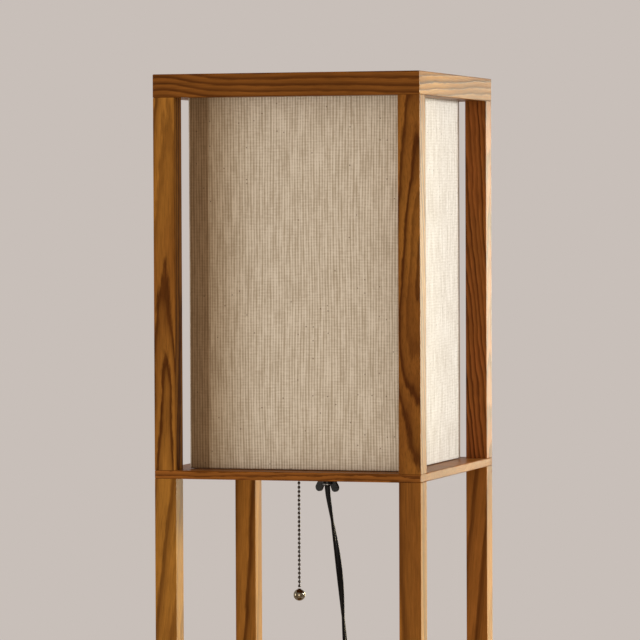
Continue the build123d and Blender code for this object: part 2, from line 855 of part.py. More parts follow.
# ---- ties round the coil, at its front and its back ----------------------------------
coil_middle = coil_start - Vector(coil_r + turn_step, coil_straight, 0)
tie_reach = tie_wide / 2 + turn_step
tie_room = cord_r + soft_gap
tie_foot = coil_z - tie_room
tie_head = coil_z + coil_pitch + tie_room
with BuildPart() as cord_ties:
    for way, inner_turn, outer_turn in (
        (-1, coil_r - (coil_half_turns_in - 1) * turn_step, coil_r),
        (1, coil_r - coil_half_turns_in * turn_step, coil_r - turn_step),
    ):
        inner = math.sqrt(inner_turn**2 - tie_reach**2) - tie_room
        outer = outer_turn + tie_room
        middle = (coil_middle.Y + way * (inner + outer) / 2, (tie_foot + tie_head) / 2)
        with BuildSketch(Plane.YZ.offset(coil_middle.X)):
            with Locations(middle):
                RectangleRounded(
                    outer - inner + 2 * tie_thickness,
                    tie_head - tie_foot + 2 * tie_thickness,
                    tie_corner_r + tie_thickness,
                )
                RectangleRounded(
                    outer - inner, tie_head - tie_foot, tie_corner_r, mode=Mode.SUBTRACT
                )
        extrude(amount=tie_wide / 2, both=True)
save(cord_ties, "cord_ties")

# ---- the cord's tail from the coil to the plug beside it -----------------------------
plug_z = plug_front[1] / 2 + 2 * slip
tail_route = [
    tuple(coil_end),
    (32.0, 50, coil_end.Z),
    (32.4, 33.5, 9.0),
    (33.4, 17, plug_z),
    (33.8, 3, plug_z),
]
lay_tube("cord_tail", tail_route)

plug_at = Vector(*tail_route[-1])
plug_way = (plug_at - Vector(*tail_route[-2])).normalized()
plug_plane = Plane(origin=plug_at, x_dir=plug_way.cross(Vector(0, 0, 1)), z_dir=plug_way)
with BuildPart() as plug_body:
    with BuildSketch(plug_plane):
        Circle(plug_relief_r)
    with BuildSketch(plug_plane.offset(plug_relief)):
        RectangleRounded(*plug_waist, plug_corner_r)
    loft()
    with BuildSketch(plug_plane.offset(plug_relief)):
        RectangleRounded(*plug_waist, plug_corner_r)
    with BuildSketch(plug_plane.offset(plug_relief + plug_neck)):
        RectangleRounded(*plug_shoulder, plug_corner_r)
    loft()
    with BuildSketch(plug_plane.offset(plug_relief + plug_neck)):
        RectangleRounded(*plug_shoulder, plug_corner_r)
    with BuildSketch(plug_plane.offset(plug_relief + plug_neck + plug_body_length)):
        RectangleRounded(*plug_front, plug_corner_r)
    loft()
    plug_face = plug_plane.offset(plug_relief + plug_neck + plug_body_length)
    with BuildSketch(plug_face):
        with GridLocations(blade_spacing, 0, 2, 1):
            Rectangle(blade_thick + slip, blade_wide + slip)
    extrude(amount=-blade_root, mode=Mode.SUBTRACT)
save(plug_body, "plug_body")

with BuildPart() as plug_blades:
    with BuildSketch(plug_face.offset(-blade_root)):
        with GridLocations(blade_spacing, 0, 2, 1):
            Rectangle(blade_thick, blade_wide)
    extrude(amount=blade_root + blade_length)
save(plug_blades, "plug_blades")
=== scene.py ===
"""Looks for the shelf floor lamp.

A stained pine frame, a linen shade box, a pull-chain lamp holder and a flat twin cord.
"""

import math

import bpy
from mathutils import Euler, Matrix, Vector, noise


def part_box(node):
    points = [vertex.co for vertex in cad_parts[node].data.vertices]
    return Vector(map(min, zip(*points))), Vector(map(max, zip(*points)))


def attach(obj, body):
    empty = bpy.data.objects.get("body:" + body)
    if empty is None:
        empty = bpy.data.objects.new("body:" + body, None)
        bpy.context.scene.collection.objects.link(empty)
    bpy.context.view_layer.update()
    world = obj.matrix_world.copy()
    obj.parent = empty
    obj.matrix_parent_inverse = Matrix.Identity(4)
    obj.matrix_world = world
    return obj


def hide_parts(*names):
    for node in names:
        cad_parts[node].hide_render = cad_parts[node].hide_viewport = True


bl_info = {
    "name": "Shelf floor lamp",
    "version": (1, 0, 0),
    "blender": (4, 5, 0),
    "location": "3D View > Sidebar > Floor Lamp",
    "description": "Dresses the CAD model of a floor lamp with shelves and a linen shade box",
    "category": "Object",
}

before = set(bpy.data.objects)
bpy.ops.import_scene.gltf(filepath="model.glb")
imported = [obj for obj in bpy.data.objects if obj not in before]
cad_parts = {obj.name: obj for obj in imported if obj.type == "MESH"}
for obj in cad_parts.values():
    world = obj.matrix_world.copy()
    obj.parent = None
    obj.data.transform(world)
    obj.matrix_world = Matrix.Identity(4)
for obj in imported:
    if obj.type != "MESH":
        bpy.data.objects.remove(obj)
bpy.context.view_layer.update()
mm = 0.001
turn = 2 * math.pi
view_azimuth = 0.3003  # how far right of the front the photograph was taken, in radians

board_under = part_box("lamp_board")[0].z
shade_low, shade_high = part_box("shade_fabric")
post_names = [
    f"{tier}_post_{place}"
    for tier in ("shade", "upper", "middle", "lower")
    for place in ("front_left", "front_right", "back_left", "back_right")
]


def linear(hex_code):
    """An sRGB hex colour as linear red, green and blue."""
    parts = [int(hex_code[i : i + 2], 16) / 255 for i in (1, 3, 5)]
    return tuple(c / 12.92 if c <= 0.04045 else ((c + 0.055) / 1.055) ** 2.4 for c in parts)


def length_setting(name, description, default):
    return bpy.props.FloatProperty(
        name=name, description=description, default=default, min=0, precision=5, unit="LENGTH"
    )


def colour_setting(name, description, hex_code):
    return bpy.props.FloatVectorProperty(
        name=name, description=description, default=linear(hex_code), size=3, min=0, max=1,
        subtype="COLOR",
    )


class LampSizes(bpy.types.PropertyGroup):
    ring_width: length_setting("Growth ring", "Width of one growth ring in the pine", 4.2 * mm)
    fibre_width: length_setting("Wood fibre", "Width of the fine streaks in the pine", 0.9 * mm)
    slub_pitch: length_setting("Slub pitch", "From one upright slub to the next", 2.7 * mm)
    slub_height: length_setting("Slub height", "How far a slub stands out", 0.24 * mm)
    weft_pitch: length_setting("Weft pitch", "From one level rib to the next", 2.7 * mm)
    cloth_thickness: length_setting("Cloth thickness", "Thickness of the linen", 0.35 * mm)
    hem_width: length_setting("Hem", "Linen turned in over each wire ring", 8 * mm)
    # the lap's width also sets the band of painted shade at the front left corner
    lap_width: length_setting("Lap", "Doubled cloth at the front left corner", 18 * mm)
    bead_radius: length_setting("Bead radius", "Radius of a bead", 1.5 * mm)
    bead_pitch: length_setting("Bead pitch", "From one bead to the next", 4.15 * mm)
    link_radius: length_setting("Link radius", "Radius of the wire between two beads", 0.5 * mm)
    cord_width: length_setting("Cord width", "Across both cores of the flat cord", 6.2 * mm)
    cord_thickness: length_setting("Cord thickness", "Across one core of the flat cord", 3 * mm)


class LampColours(bpy.types.PropertyGroup):
    pine_early: colour_setting("Pine, early wood", "Soft, wide part of a growth ring", "#AB7833")
    pine_late: colour_setting("Pine, late wood", "Dark line of a growth ring", "#502A0E")
    pine_stain: colour_setting("Pine stain", "Where the stain has soaked in", "#855423")
    pine_red: colour_setting("Pine, ruddy board", "Early wood of the redder boards", "#9D5A2A")
    linen_thread: colour_setting("Linen thread", "Top of a slub", "#E5E1D6")
    # painted shade: this tan darkens the lap and paints the corner post's shadow in it and beside
    # it
    linen_groove: colour_setting("Linen groove", "Between two slubs", "#B2A896")
    linen_lap_and_shade: colour_setting("Linen lap", "Where the cloth lies double", "#A0896F")
    lining: colour_setting("Shade lining", "White film behind the linen", "#F0ECE2")
    cord: colour_setting("Cord", "Sheath of the flat cord and the plug", "#050506")
    enamel: colour_setting("Black enamel", "Wing nut", "#06080A")
    nickel: colour_setting("Nickel", "Lamp holder", "#C9C4BA")
    bead: colour_setting("Chain", "Beads of the pull chain", "#4C4741")
    brass: colour_setting("Brass", "Thread inserts and contacts", "#C8A255")
    zinc: colour_setting("Zinc", "Zinc-plated steel", "#B4B7B8")
    felt: colour_setting("Felt", "Pads under the feet", "#5B4632")
    backdrop: colour_setting("Backdrop", "Pale ground behind the object", "#C8BFB9")


# ---- materials -------------------------------------------------------------------------


def add(tree, kind, inputs=None, stops=None, **settings):
    """Adds a node; an input is a value or another node's output, and stops fill a colour ramp."""
    node = tree.nodes.new(kind)
    for name, value in settings.items():
        setattr(node, name, value)
    for socket, value in (inputs or {}).items():
        if isinstance(value, bpy.types.NodeSocket):
            tree.links.new(value, node.inputs[socket])
        else:
            node.inputs[socket].default_value = value
    if stops:
        ramp = node.color_ramp
        while len(ramp.elements) < len(stops):
            ramp.elements.new(0.5)
        for element, (place, shade) in zip(ramp.elements, stops):
            element.position = place
            element.color = (*shade, 1) if isinstance(shade, (tuple, list)) else (shade,) * 3 + (1,)
    return node


def material(name, **sockets):
    """A material of one Principled shader, with its constants on the shader's own sockets."""
    made = bpy.data.materials.new(name)
    made.use_nodes = True
    tree = made.node_tree
    tree.nodes.clear()
    shader = add(tree, "ShaderNodeBsdfPrincipled", sockets)
    add(tree, "ShaderNodeOutputMaterial", {"Surface": shader.outputs[0]})
    return made, tree, shader


def opaque(shade):
    return (*shade, 1)


def stained_pine(
    name, along, centre, heart, lean,
    coarse=1.0, wavy=7.0, ruddy=0.3, heavy=1.0, deep=0.0, swirls=(),
):
    """Planed pine, stained brown and oiled: dark late-wood lines, fine fibres, a satin skin.

    along is the axis the grain runs in, heart the tree's middle from the piece's centre in mm,
    lean how far the grain leaves the piece's axis, in degrees, which makes the lines run out,
    coarse how many growth rings wide a ring is here, wavy how far it wanders, in mm, ruddy how
    much of the redder colour the board has, heavy how broad the dark part of a ring is, deep how
    much further the stain has soaked in, and swirls where a knot nearby pushes the grain aside:
    its place from the piece's centre, its reach and the push, in mm.
    """
    sizes, look = bpy.context.scene.lamp_sizes, bpy.context.scene.lamp_colours
    made, tree, shader = material(name, **{"IOR": 1.5, "Specular IOR Level": 0.025})
    lay = Euler({"X": (0, turn / 4, 0), "Y": (-turn / 4, 0, 0), "Z": (0, 0, 0)}[along])
    axes = lay.to_matrix() @ Euler((math.radians(lean[0]), math.radians(lean[1]), 0)).to_matrix()
    middle = Vector(centre) + lay.to_matrix() @ Vector((heart[0] * mm, heart[1] * mm, 0))
    place = add(tree, "ShaderNodeTexCoord")
    log = add(
        tree,
        "ShaderNodeMapping",
        {"Vector": place.outputs["Object"], "Location": middle, "Rotation": axes.to_euler()},
        vector_type="TEXTURE",
    )
    # growth wanders in waves of about 40 mm across the log and 150 mm along it
    squeezed = add(
        tree, "ShaderNodeVectorMath", {0: log.outputs[0], 1: (1, 1, 0.28)}, operation="MULTIPLY"
    )
    wander = add(
        tree,
        "ShaderNodeTexNoise",
        {"Vector": squeezed.outputs[0], "Scale": 24, "Detail": 4, "Roughness": 0.55},
    )
    shift = add(
        tree,
        "ShaderNodeVectorMath",
        {0: wander.outputs["Color"], 1: (0.5, 0.5, 0.5)},
        operation="SUBTRACT",
    )
    bent = add(
        tree,
        "ShaderNodeVectorMath",
        {0: shift.outputs[0], 1: (wavy * 2 * mm,) * 3, 2: log.outputs[0]},
        operation="MULTIPLY_ADD",
    )
    for spot, reach, push in swirls:
        near = Vector(centre) + Vector(spot) * mm
        away = add(
            tree,
            "ShaderNodeVectorMath",
            {0: place.outputs["Object"], 1: near},
            operation="SUBTRACT",
        )
        share = add(
            tree,
            "ShaderNodeVectorMath",
            {0: away.outputs[0], 1: Vector(reach) * mm},
            operation="DIVIDE",
        )
        square = add(
            tree,
            "ShaderNodeVectorMath",
            {0: share.outputs[0], 1: share.outputs[0]},
            operation="DOT_PRODUCT",
        )
        fade = add(
            tree,
            "ShaderNodeMath",
            {0: -1.0, 1: square.outputs["Value"]},
            operation="MULTIPLY",
        )
        strength = add(tree, "ShaderNodeMath", {0: fade.outputs[0]}, operation="EXPONENT")
        aside = axes.inverted() @ (Vector(push) * mm)
        bent = add(
            tree,
            "ShaderNodeVectorMath",
            {0: strength.outputs[0], 1: aside, 2: bent.outputs[0]},
            operation="MULTIPLY_ADD",
        )
    flat = add(
        tree,
        "ShaderNodeVectorMath",
        {0: bent.outputs[0], 1: (1, 1, 0)},
        operation="MULTIPLY",
    )
    out = add(tree, "ShaderNodeVectorMath", {0: flat.outputs[0]}, operation="LENGTH")
    rings = add(
        tree,
        "ShaderNodeMath",
        {0: out.outputs["Value"], 1: sizes.ring_width * coarse},
        operation="DIVIDE",
    )
    # late wood frays along the grain, half a millimetre or so either way, in streaks 2 mm wide
    torn = add(
        tree,
        "ShaderNodeVectorMath",
        {0: log.outputs[0], 1: (1, 1, 0.12)},
        operation="MULTIPLY",
    )
    fray = add(
        tree,
        "ShaderNodeTexNoise",
        {
            "Vector": torn.outputs[0],
            "Scale": 0.4 / sizes.fibre_width,
            "Detail": 4,
            "Roughness": 0.65,
        },
    )
    ragged = add(
        tree,
        "ShaderNodeMath",
        {0: fray.outputs["Fac"], 1: 0.5 / coarse, 2: rings.outputs[0]},
        operation="MULTIPLY_ADD",
    )
    within = add(tree, "ShaderNodeMath", {0: ragged.outputs[0]}, operation="FRACT")
    which = add(tree, "ShaderNodeMath", {0: ragged.outputs[0]}, operation="FLOOR")
    year = add(tree, "ShaderNodeTexWhiteNoise", {"W": which.outputs[0]}, noise_dimensions="1D")
    broad = add(tree, "ShaderNodeMath", {0: within.outputs[0], 1: 1 / heavy}, operation="POWER")
    late = add(
        tree,
        "ShaderNodeValToRGB",
        {"Fac": broad.outputs[0]},
        [(0.0, 0.0), (0.45, 0.08), (0.7, 0.42), (0.84, 1.0), (0.92, 0.95), (1.0, 0.0)],
    )
    full = min(1.0, 0.2 + 0.45 * heavy)
    strong = add(
        tree,
        "ShaderNodeMapRange",
        {"Value": year.outputs["Value"], "To Min": 0.4 * full, "To Max": full},
    )
    line = add(
        tree,
        "ShaderNodeMath",
        {0: late.outputs["Color"], 1: strong.outputs[0]},
        operation="MULTIPLY",
    )
    # fibres: too fine to show, so drawn as streaks 0.9 mm wide and 40 mm long
    drawn = add(
        tree, "ShaderNodeVectorMath", {0: log.outputs[0], 1: (1, 1, 0.022)}, operation="MULTIPLY"
    )
    fibre = add(
        tree,
        "ShaderNodeTexNoise",
        {"Vector": drawn.outputs[0], "Scale": 1 / sizes.fibre_width, "Detail": 3, "Roughness": 0.6},
    )
    # stain: clouds about 65 mm across, where it soaked in deeper
    cloud = add(
        tree, "ShaderNodeTexNoise", {"Vector": squeezed.outputs[0], "Scale": 15, "Detail": 3}
    )
    soaked = add(
        tree,
        "ShaderNodeMapRange",
        {
            "Value": cloud.outputs["Fac"],
            "From Min": 0.42 - deep,
            "From Max": 0.66 - deep,
            "To Max": 0.9,
        },
    )
    early = [a + (b - a) * ruddy for a, b in zip(look.pine_early, look.pine_red)]
    wood = add(
        tree,
        "ShaderNodeMix",
        {0: soaked.outputs[0], 6: opaque(early), 7: opaque(look.pine_stain)},
        data_type="RGBA",
    )
    ringed = add(
        tree,
        "ShaderNodeMix",
        {0: line.outputs[0], 6: wood.outputs[2], 7: opaque(look.pine_late)},
        data_type="RGBA",
    )
    streak = add(
        tree,
        "ShaderNodeValToRGB",
        {"Fac": fibre.outputs["Fac"]},
        [(0.28, 0.6), (0.5, 0.95), (0.72, 1.05)],
    )
    mottle = add(
        tree,
        "ShaderNodeMapRange",
        {
            "Value": fray.outputs["Fac"],
            "From Min": 0.3,
            "From Max": 0.7,
            "To Min": 0.78,
            "To Max": 1.1,
        },
    )
    pored = add(
        tree,
        "ShaderNodeVectorMath",
        {0: streak.outputs["Color"], "Scale": mottle.outputs[0]},
        operation="SCALE",
    )
    streaked = add(
        tree,
        "ShaderNodeMix",
        {0: 0.85, 6: ringed.outputs[2], 7: pored.outputs[0]},
        data_type="RGBA",
        blend_type="MULTIPLY",
    )
    satin = add(
        tree,
        "ShaderNodeMapRange",
        {"Value": fibre.outputs["Fac"], "To Min": 0.24, "To Max": 0.4},
    )
    relief = add(
        tree,
        "ShaderNodeMath",
        {0: fibre.outputs["Fac"], 1: 0.4, 2: line.outputs[0]},
        operation="MULTIPLY_ADD",
    )
    bump = add(
        tree,
        "ShaderNodeBump",
        {"Height": relief.outputs[0], "Strength": 0.35, "Distance": 0.15 * mm},
    )
    tree.links.new(streaked.outputs[2], shader.inputs["Base Color"])
    tree.links.new(satin.outputs[0], shader.inputs["Roughness"])
    tree.links.new(bump.outputs[0], shader.inputs["Normal"])
    return made


def slub_linen():
    """Natural linen, plain woven with thick and thin yarn.

    That gives upright slubs, finer level threads, a few husk specks and a soft, dull sheen.
    It reads the cloth's own UV map, in metres: u round the box with the yarns' drift, v up,
    and an attribute that darkens the lap and paints shade beside it.
    """
    sizes, look = bpy.context.scene.lamp_sizes, bpy.context.scene.lamp_colours
    made, tree, shader = material(
        "linen_woven_slub",
        **{
            "Roughness": 0.85,
            "Sheen Weight": 0.25,
            "Sheen Roughness": 0.5,
            "IOR": 1.5,
            "Specular IOR Level": 0.2,
        },
    )
    cloth = add(tree, "ShaderNodeUVMap", uv_map="cloth")
    around = add(tree, "ShaderNodeSeparateXYZ", {0: cloth.outputs[0]})
    wave = add(
        tree,
        "ShaderNodeMath",
        {0: around.outputs["X"], 1: turn / sizes.slub_pitch},
        operation="MULTIPLY",
    )
    rib = add(tree, "ShaderNodeMath", {0: wave.outputs[0]}, operation="COSINE")
    # a yarn keeps its thickness for about 40 mm
    yarn = add(
        tree,
        "ShaderNodeMapping",
        {"Vector": cloth.outputs[0], "Scale": (1 / sizes.slub_pitch, 26, 1)},
    )
    thick = add(
        tree,
        "ShaderNodeTexNoise",
        {"Vector": yarn.outputs[0], "Scale": 1, "Detail": 3, "Roughness": 0.65},
    )
    # level threads: too fine to show, so drawn every 1.7 mm, and alike for 9 mm
    level = add(
        tree,
        "ShaderNodeMapping",
        {"Vector": cloth.outputs[0], "Scale": (110, 1.6 / sizes.weft_pitch, 1)},
    )
    weft = add(
        tree,
        "ShaderNodeTexNoise",
        {"Vector": level.outputs[0], "Scale": 1, "Detail": 3, "Roughness": 0.7},
    )
    ribbed = add(
        tree,
        "ShaderNodeMath",
        {0: rib.outputs[0], 1: 0.17, 2: thick.outputs["Fac"]},
        operation="MULTIPLY_ADD",
    )
    crossed = add(
        tree,
        "ShaderNodeMath",
        {0: weft.outputs["Fac"], 1: 0.5, 2: ribbed.outputs[0]},
        operation="MULTIPLY_ADD",
    )
    swell = add(
        tree,
        "ShaderNodeMath",
        {0: around.outputs["Y"], 1: turn / sizes.weft_pitch},
        operation="MULTIPLY",
    )
    bar = add(tree, "ShaderNodeMath", {0: swell.outputs[0]}, operation="COSINE")
    woven = add(
        tree,
        "ShaderNodeMath",
        {0: bar.outputs[0], 1: 0.03, 2: crossed.outputs[0]},
        operation="MULTIPLY_ADD",
    )
    yarns = add(
        tree,
        "ShaderNodeMapRange",
        {"Value": woven.outputs[0], "From Min": 0.52, "From Max": 0.97},
    )
    body = add(
        tree,
        "ShaderNodeMix",
        {0: yarns.outputs[0], 6: opaque(look.linen_groove), 7: opaque(look.linen_thread)},
        data_type="RGBA",
    )
    # husk specks: about one in every 9 square centimetres, drawn 1.4 mm wide so that they show
    husk = add(
        tree,
        "ShaderNodeTexVoronoi",
        {"Vector": cloth.outputs[0], "Scale": 140},
        voronoi_dimensions="2D",
    )
    chance = add(tree, "ShaderNodeSeparateColor", {0: husk.outputs["Color"]})
    rare = add(tree, "ShaderNodeMath", {0: chance.outputs[0], 1: 0.94}, operation="GREATER_THAN")
    near = add(
        tree,
        "ShaderNodeMath",
        {0: husk.outputs["Distance"], 1: 0.095},
        operation="LESS_THAN",
    )
    speck = add(
        tree,
        "ShaderNodeMath",
        {0: rare.outputs[0], 1: near.outputs[0]},
        operation="MULTIPLY",
    )
    faint = add(tree, "ShaderNodeMath", {0: speck.outputs[0], 1: 0.6}, operation="MULTIPLY")
    specked = add(
        tree,
        "ShaderNodeMix",
        {0: faint.outputs[0], 6: body.outputs[2], 7: (*linear("#5A4630"), 1)},
        data_type="RGBA",
    )
    # a deeper tan where the cloth lies double in the lap, with the corner post's shadow painted
    # over it; painted shade fading out beside the lap, and a thin darker line at the glued corner
    lap_and_painted_shade = add(tree, "ShaderNodeAttribute", attribute_name="lap_and_painted_shade")
    deep = add(
        tree, "ShaderNodeGamma", {"Color": opaque(look.linen_lap_and_shade), "Gamma": lap_and_painted_shade.outputs["Fac"]}
    )
    whole = add(
        tree,
        "ShaderNodeMix",
        {0: 1.0, 6: deep.outputs[0], 7: specked.outputs[2]},
        data_type="RGBA",
        blend_type="MULTIPLY",
    )
    bump = add(
        tree, "ShaderNodeBump", {"Height": woven.outputs[0], "Strength": 0.18, "Distance": 0.3 * mm}
    )
    tree.links.new(whole.outputs[2], shader.inputs["Base Color"])
    tree.links.new(bump.outputs[0], shader.inputs["Normal"])
    return made


def worn_metal(name, shade, rough, scratch=0.06, drawn=(1, 1, 1), grit=0.3):
    """Metal with fine turning or drawing marks, and the duller patches that handling leaves.

    grit is the marks' width in mm, drawn how many times closer they lie along each axis, and
    the patches are about 8 mm across. Real marks are finer and are drawn wider so that they show.
    """
    made, tree, shader = material(name, **{"Metallic": 1.0})
    place = add(tree, "ShaderNodeTexCoord")
    marks = add(tree, "ShaderNodeMapping", {"Vector": place.outputs["Object"], "Scale": drawn})
    fine = add(
        tree,
        "ShaderNodeTexNoise",
        {"Vector": marks.outputs[0], "Scale": 1 / (grit * mm), "Detail": 2},
    )
    dull = add(
        tree, "ShaderNodeTexNoise", {"Vector": place.outputs["Object"], "Scale": 130, "Detail": 3}
    )
    both = add(
        tree,
        "ShaderNodeMath",
        {0: fine.outputs["Fac"], 1: dull.outputs["Fac"]},
        operation="ADD",
    )
    gloss = add(
        tree,
        "ShaderNodeMapRange",
        {
            "Value": both.outputs[0],
            "From Min": 0.6,
            "From Max": 1.4,
            "To Min": max(0.03, rough - scratch),
            "To Max": rough + scratch,
        },
    )
    tint = add(
        tree,
        "ShaderNodeValToRGB",
        {"Fac": dull.outputs["Fac"]},
        [(0.3, tuple(c * 0.86 for c in shade)), (0.65, tuple(shade))],
    )
    bump = add(
        tree,
        "ShaderNodeBump",
        {"Height": fine.outputs["Fac"], "Strength": 0.12, "Distance": 0.04 * mm},
    )
    tree.links.new(tint.outputs["Color"], shader.inputs["Base Color"])
    tree.links.new(gloss.outputs[0], shader.inputs["Roughness"])
    tree.links.new(bump.outputs[0], shader.inputs["Normal"])
    return made


def moulded(name, shade, rough, coat=0.0, grain=0.35, depth=0.05, gloss_level=0.5, patchy=0.15):
    """Moulded or dipped skin: a fine eggshell grain, slightly uneven gloss and colour.

    grain and depth are the skin's width and height in mm, drawn coarser than the real one so
    that it shows, and patchy is how much darker the duller patches of 9 mm are.
    """
    made, tree, shader = material(
        name,
        **{
            "Coat Weight": coat,
            "Coat Roughness": 0.12,
            "IOR": 1.5,
            "Specular IOR Level": gloss_level,
        },
    )
    place = add(tree, "ShaderNodeTexCoord")
    skin = add(
        tree,
        "ShaderNodeTexNoise",
        {"Vector": place.outputs["Object"], "Scale": 1 / (grain * mm), "Detail": 3},
    )
    patch = add(
        tree, "ShaderNodeTexNoise", {"Vector": place.outputs["Object"], "Scale": 110, "Detail": 2}
    )
    gloss = add(
        tree,
        "ShaderNodeMapRange",
        {
            "Value": skin.outputs["Fac"],
            "From Min": 0.3,
            "From Max": 0.7,
            "To Min": rough - 0.06,
            "To Max": rough + 0.07,
        },
    )
    tint = add(
        tree,
        "ShaderNodeValToRGB",
        {"Fac": patch.outputs["Fac"]},
        [(0.3, tuple(c * (1 - patchy) for c in shade)), (0.7, tuple(shade))],
    )
    bump = add(
        tree,
        "ShaderNodeBump",
        {"Height": skin.outputs["Fac"], "Strength": 0.3, "Distance": depth * mm},
    )
    tree.links.new(tint.outputs["Color"], shader.inputs["Base Color"])
    tree.links.new(gloss.outputs[0], shader.inputs["Roughness"])
    tree.links.new(bump.outputs[0], shader.inputs["Normal"])
    return made


def pressed_felt(name, shade):
    """Pressed wool felt: matted fibres with a soft, fuzzy edge.

    Single fibres are too fine to show, so they are drawn as clumps of 0.7 mm.
    """
    made, tree, shader = material(
        name, **{"Roughness": 0.95, "Sheen Weight": 0.6, "Sheen Roughness": 0.7}
    )
    place = add(tree, "ShaderNodeTexCoord")
    fibres = add(
        tree,
        "ShaderNodeTexNoise",
        {"Vector": place.outputs["Object"], "Scale": 1400, "Detail": 4, "Distortion": 2.5},
    )
    tint = add(
        tree,
        "ShaderNodeValToRGB",
        {"Fac": fibres.outputs["Fac"]},
        [(0.3, tuple(c * 0.55 for c in shade)), (0.65, tuple(min(1, c * 1.3) for c in shade))],
    )
    bump = add(
        tree,
        "ShaderNodeBump",
        {"Height": fibres.outputs["Fac"], "Strength": 0.7, "Distance": 0.3 * mm},
    )
    tree.links.new(tint.outputs["Color"], shader.inputs["Base Color"])
    tree.links.new(bump.outputs[0], shader.inputs["Normal"])
    return made


# ---- meshes ----------------------------------------------------------------------------


def dress(node, finish):
    """Gives a CAD node its finish."""
    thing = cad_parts[node]
    thing.data.materials.clear()
    thing.data.materials.append(finish)


def new_piece(name, points, faces, finish, smooth=True):
    mesh = bpy.data.meshes.new(name)
    mesh.from_pydata(points, [], faces)
    mesh.materials.append(finish)
    mesh.polygons.foreach_set("use_smooth", [smooth] * len(mesh.polygons))
    mesh.update()
    piece = bpy.data.objects.new(name, mesh)
    bpy.context.scene.collection.objects.link(piece)
    return piece


def settle(piece):
    """Turns a piece with its modifiers into a plain mesh."""
    bpy.context.view_layer.update()
    shaped = piece.evaluated_get(bpy.context.evaluated_depsgraph_get())
    mesh = bpy.data.meshes.new_from_object(shaped)
    piece.modifiers.clear()
    piece.data = mesh


def skin_rings(rings, closed_ends=True):
    """Points and faces of a tube through rings of equal length, with capped ends."""
    count = len(rings[0])
    points = [p for ring in rings for p in ring]
    faces = []
    for i in range(len(rings) - 1):
        for j in range(count):
            k = (j + 1) % count
            faces.append((i * count + j, i * count + k, (i + 1) * count + k, (i + 1) * count + j))
    if closed_ends:
        faces.append(tuple(reversed(range(count))))
        last = (len(rings) - 1) * count
        faces.append(tuple(range(last, last + count)))
    return points, faces


def turned_shape(name, profile, centre, finish, segments=32):
    """A shape turned about an upright axis; its profile is radius and height, foot first."""
    rings = []
    for radius, height in profile:
        rings.append(
            [
                (
                    centre[0] + radius * math.cos(turn * i / segments),
                    centre[1] + radius * math.sin(turn * i / segments),
                    centre[2] + height,
                )
                for i in range(segments)
            ]
        )
    points, faces = skin_rings(rings)
    return new_piece(name, points, faces, finish)


# ---- operators -------------------------------------------------------------------------


class LAMP_OT_wood(bpy.types.Operator):
    """Grain and stain for the posts, rails, shelves and feet"""

    bl_idname = "floor_lamp.wood"
    bl_label = "Stained pine frame"

    def execute(self, context):
        # grain in the posts that show: heart, lean, coarse, wavy, ruddy, heavy, deep, swirls
        grain = {
            "shade_post_front_left": (
                (0.5, 4.8), (-1.9, 0.6), 1.05, 5, 0.1, 1.9, -0.03,
                [((4, -10, -95), (7, 12, 45), (0, 2.5, 0))],
            ),
            "shade_post_front_right": (
                (12, -7.5), (8.4, 0.5), 1.7, 7, 0.2, 1.9, 0.13,
                [
                    ((-4, -10, -60), (12, 12, 45), (5, 0, 0)),
                    ((4, -10, 100), (12, 12, 40), (-4, 0, 0)),
                ],
            ),
            "shade_post_back_left": ((-30, 18), (1.2, -2.0), 1.0, 7, 0.5),
            "shade_post_back_right": ((-40, 5), (0.5, -5.0), 1.0, 8, 1.0, 2.4, 0.0),
            "upper_post_front_left": ((14, 6), (-1.6, 6.0), 3.0, 5, 0.0, 1.1),
            "upper_post_front_right": ((60, 34), (0.6, -0.8), 5.0, 6, 0.3, 1.2, 0.12),
            "upper_post_back_left": ((26, 9), (-0.9, 2.0), 3.0, 7, 0.2, 1.5, -0.04),
            "upper_post_back_right": ((28, 8), (0.4, 6.0), 3.2, 4, 0.5, 1.3, 0.06),
        }
        for number, node in enumerate(post_names):
            low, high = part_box(node)
            # the posts below are cut from other boards, so each gets its own place in the log
            own = (
                ((-34, 22), (38, 30), (-46, -20), (30, 44), (-22, 12))[number % 5],
                ((1.6, -3.4), (-2.8, 2.6), (2.2, 1.5), (-1.4, -3.0))[number * 3 % 4],
                (1.0, 1.6, 1.2)[number % 3],
                (6, 8, 5)[number % 3],
                (0.2, 0.7, 0.4)[number % 3],
            )
            dress(
                node,
                stained_pine(
                    "stained_pine_" + node, "Z", (low + high) / 2, *grain.get(node, own)
                ),
            )
        boards = {
            "cap_rail_front": (
                "X", (-44, 8), (0.4, 0.4), 1.35, 4, 0.5, 2.3, 0.1,
                [((-118, -10, 2), (34, 30, 40), (0, 0, -9))],
            ),
            "cap_rail_back": ("X", (-34, 20), (1.2, -0.8), 1.3, 8, 0.4),
            "cap_rail_left": ("Y", (8, 42), (0.9, 1.0), 1.2, 8, 0.3),
            "cap_rail_right": ("Y", (5, -46), (1.6, 0.3), 1.5, 5, 0.2, 1.7, 0.08),
            "lamp_board": ("X", (-58, 9), (0.5, -1.9), 0.42, 3, 0.6, 1.6, 0.02),
            "upper_shelf": ("X", (-46, -50), (-0.4, 0.8), 1.1, 9, 0.3),
            "middle_shelf": ("X", (34, 48), (0.6, -0.6), 1.2, 9, 0.5),
            "lower_shelf": ("X", (42, -54), (-0.7, 0.5), 1.0, 9, 0.2),
            "foot_blocks": ("Z", (40, 150), (1.0, 1.5), 1.4, 9, 0.3),
        }
        for node, (along, *lie) in boards.items():
            low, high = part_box(node)
            dress(node, stained_pine("stained_pine_" + node, along, (low + high) / 2, *lie))
        # turned beech: pale, plain and dull beside the stained pine
        dress("cap_dowels", moulded("beech_dowel", linear("#B98A58"), 0.55, grain=0.5, depth=0.1))
        dress("foot_pads", pressed_felt("pressed_felt", context.scene.lamp_colours.felt))
        return {"FINISHED"}


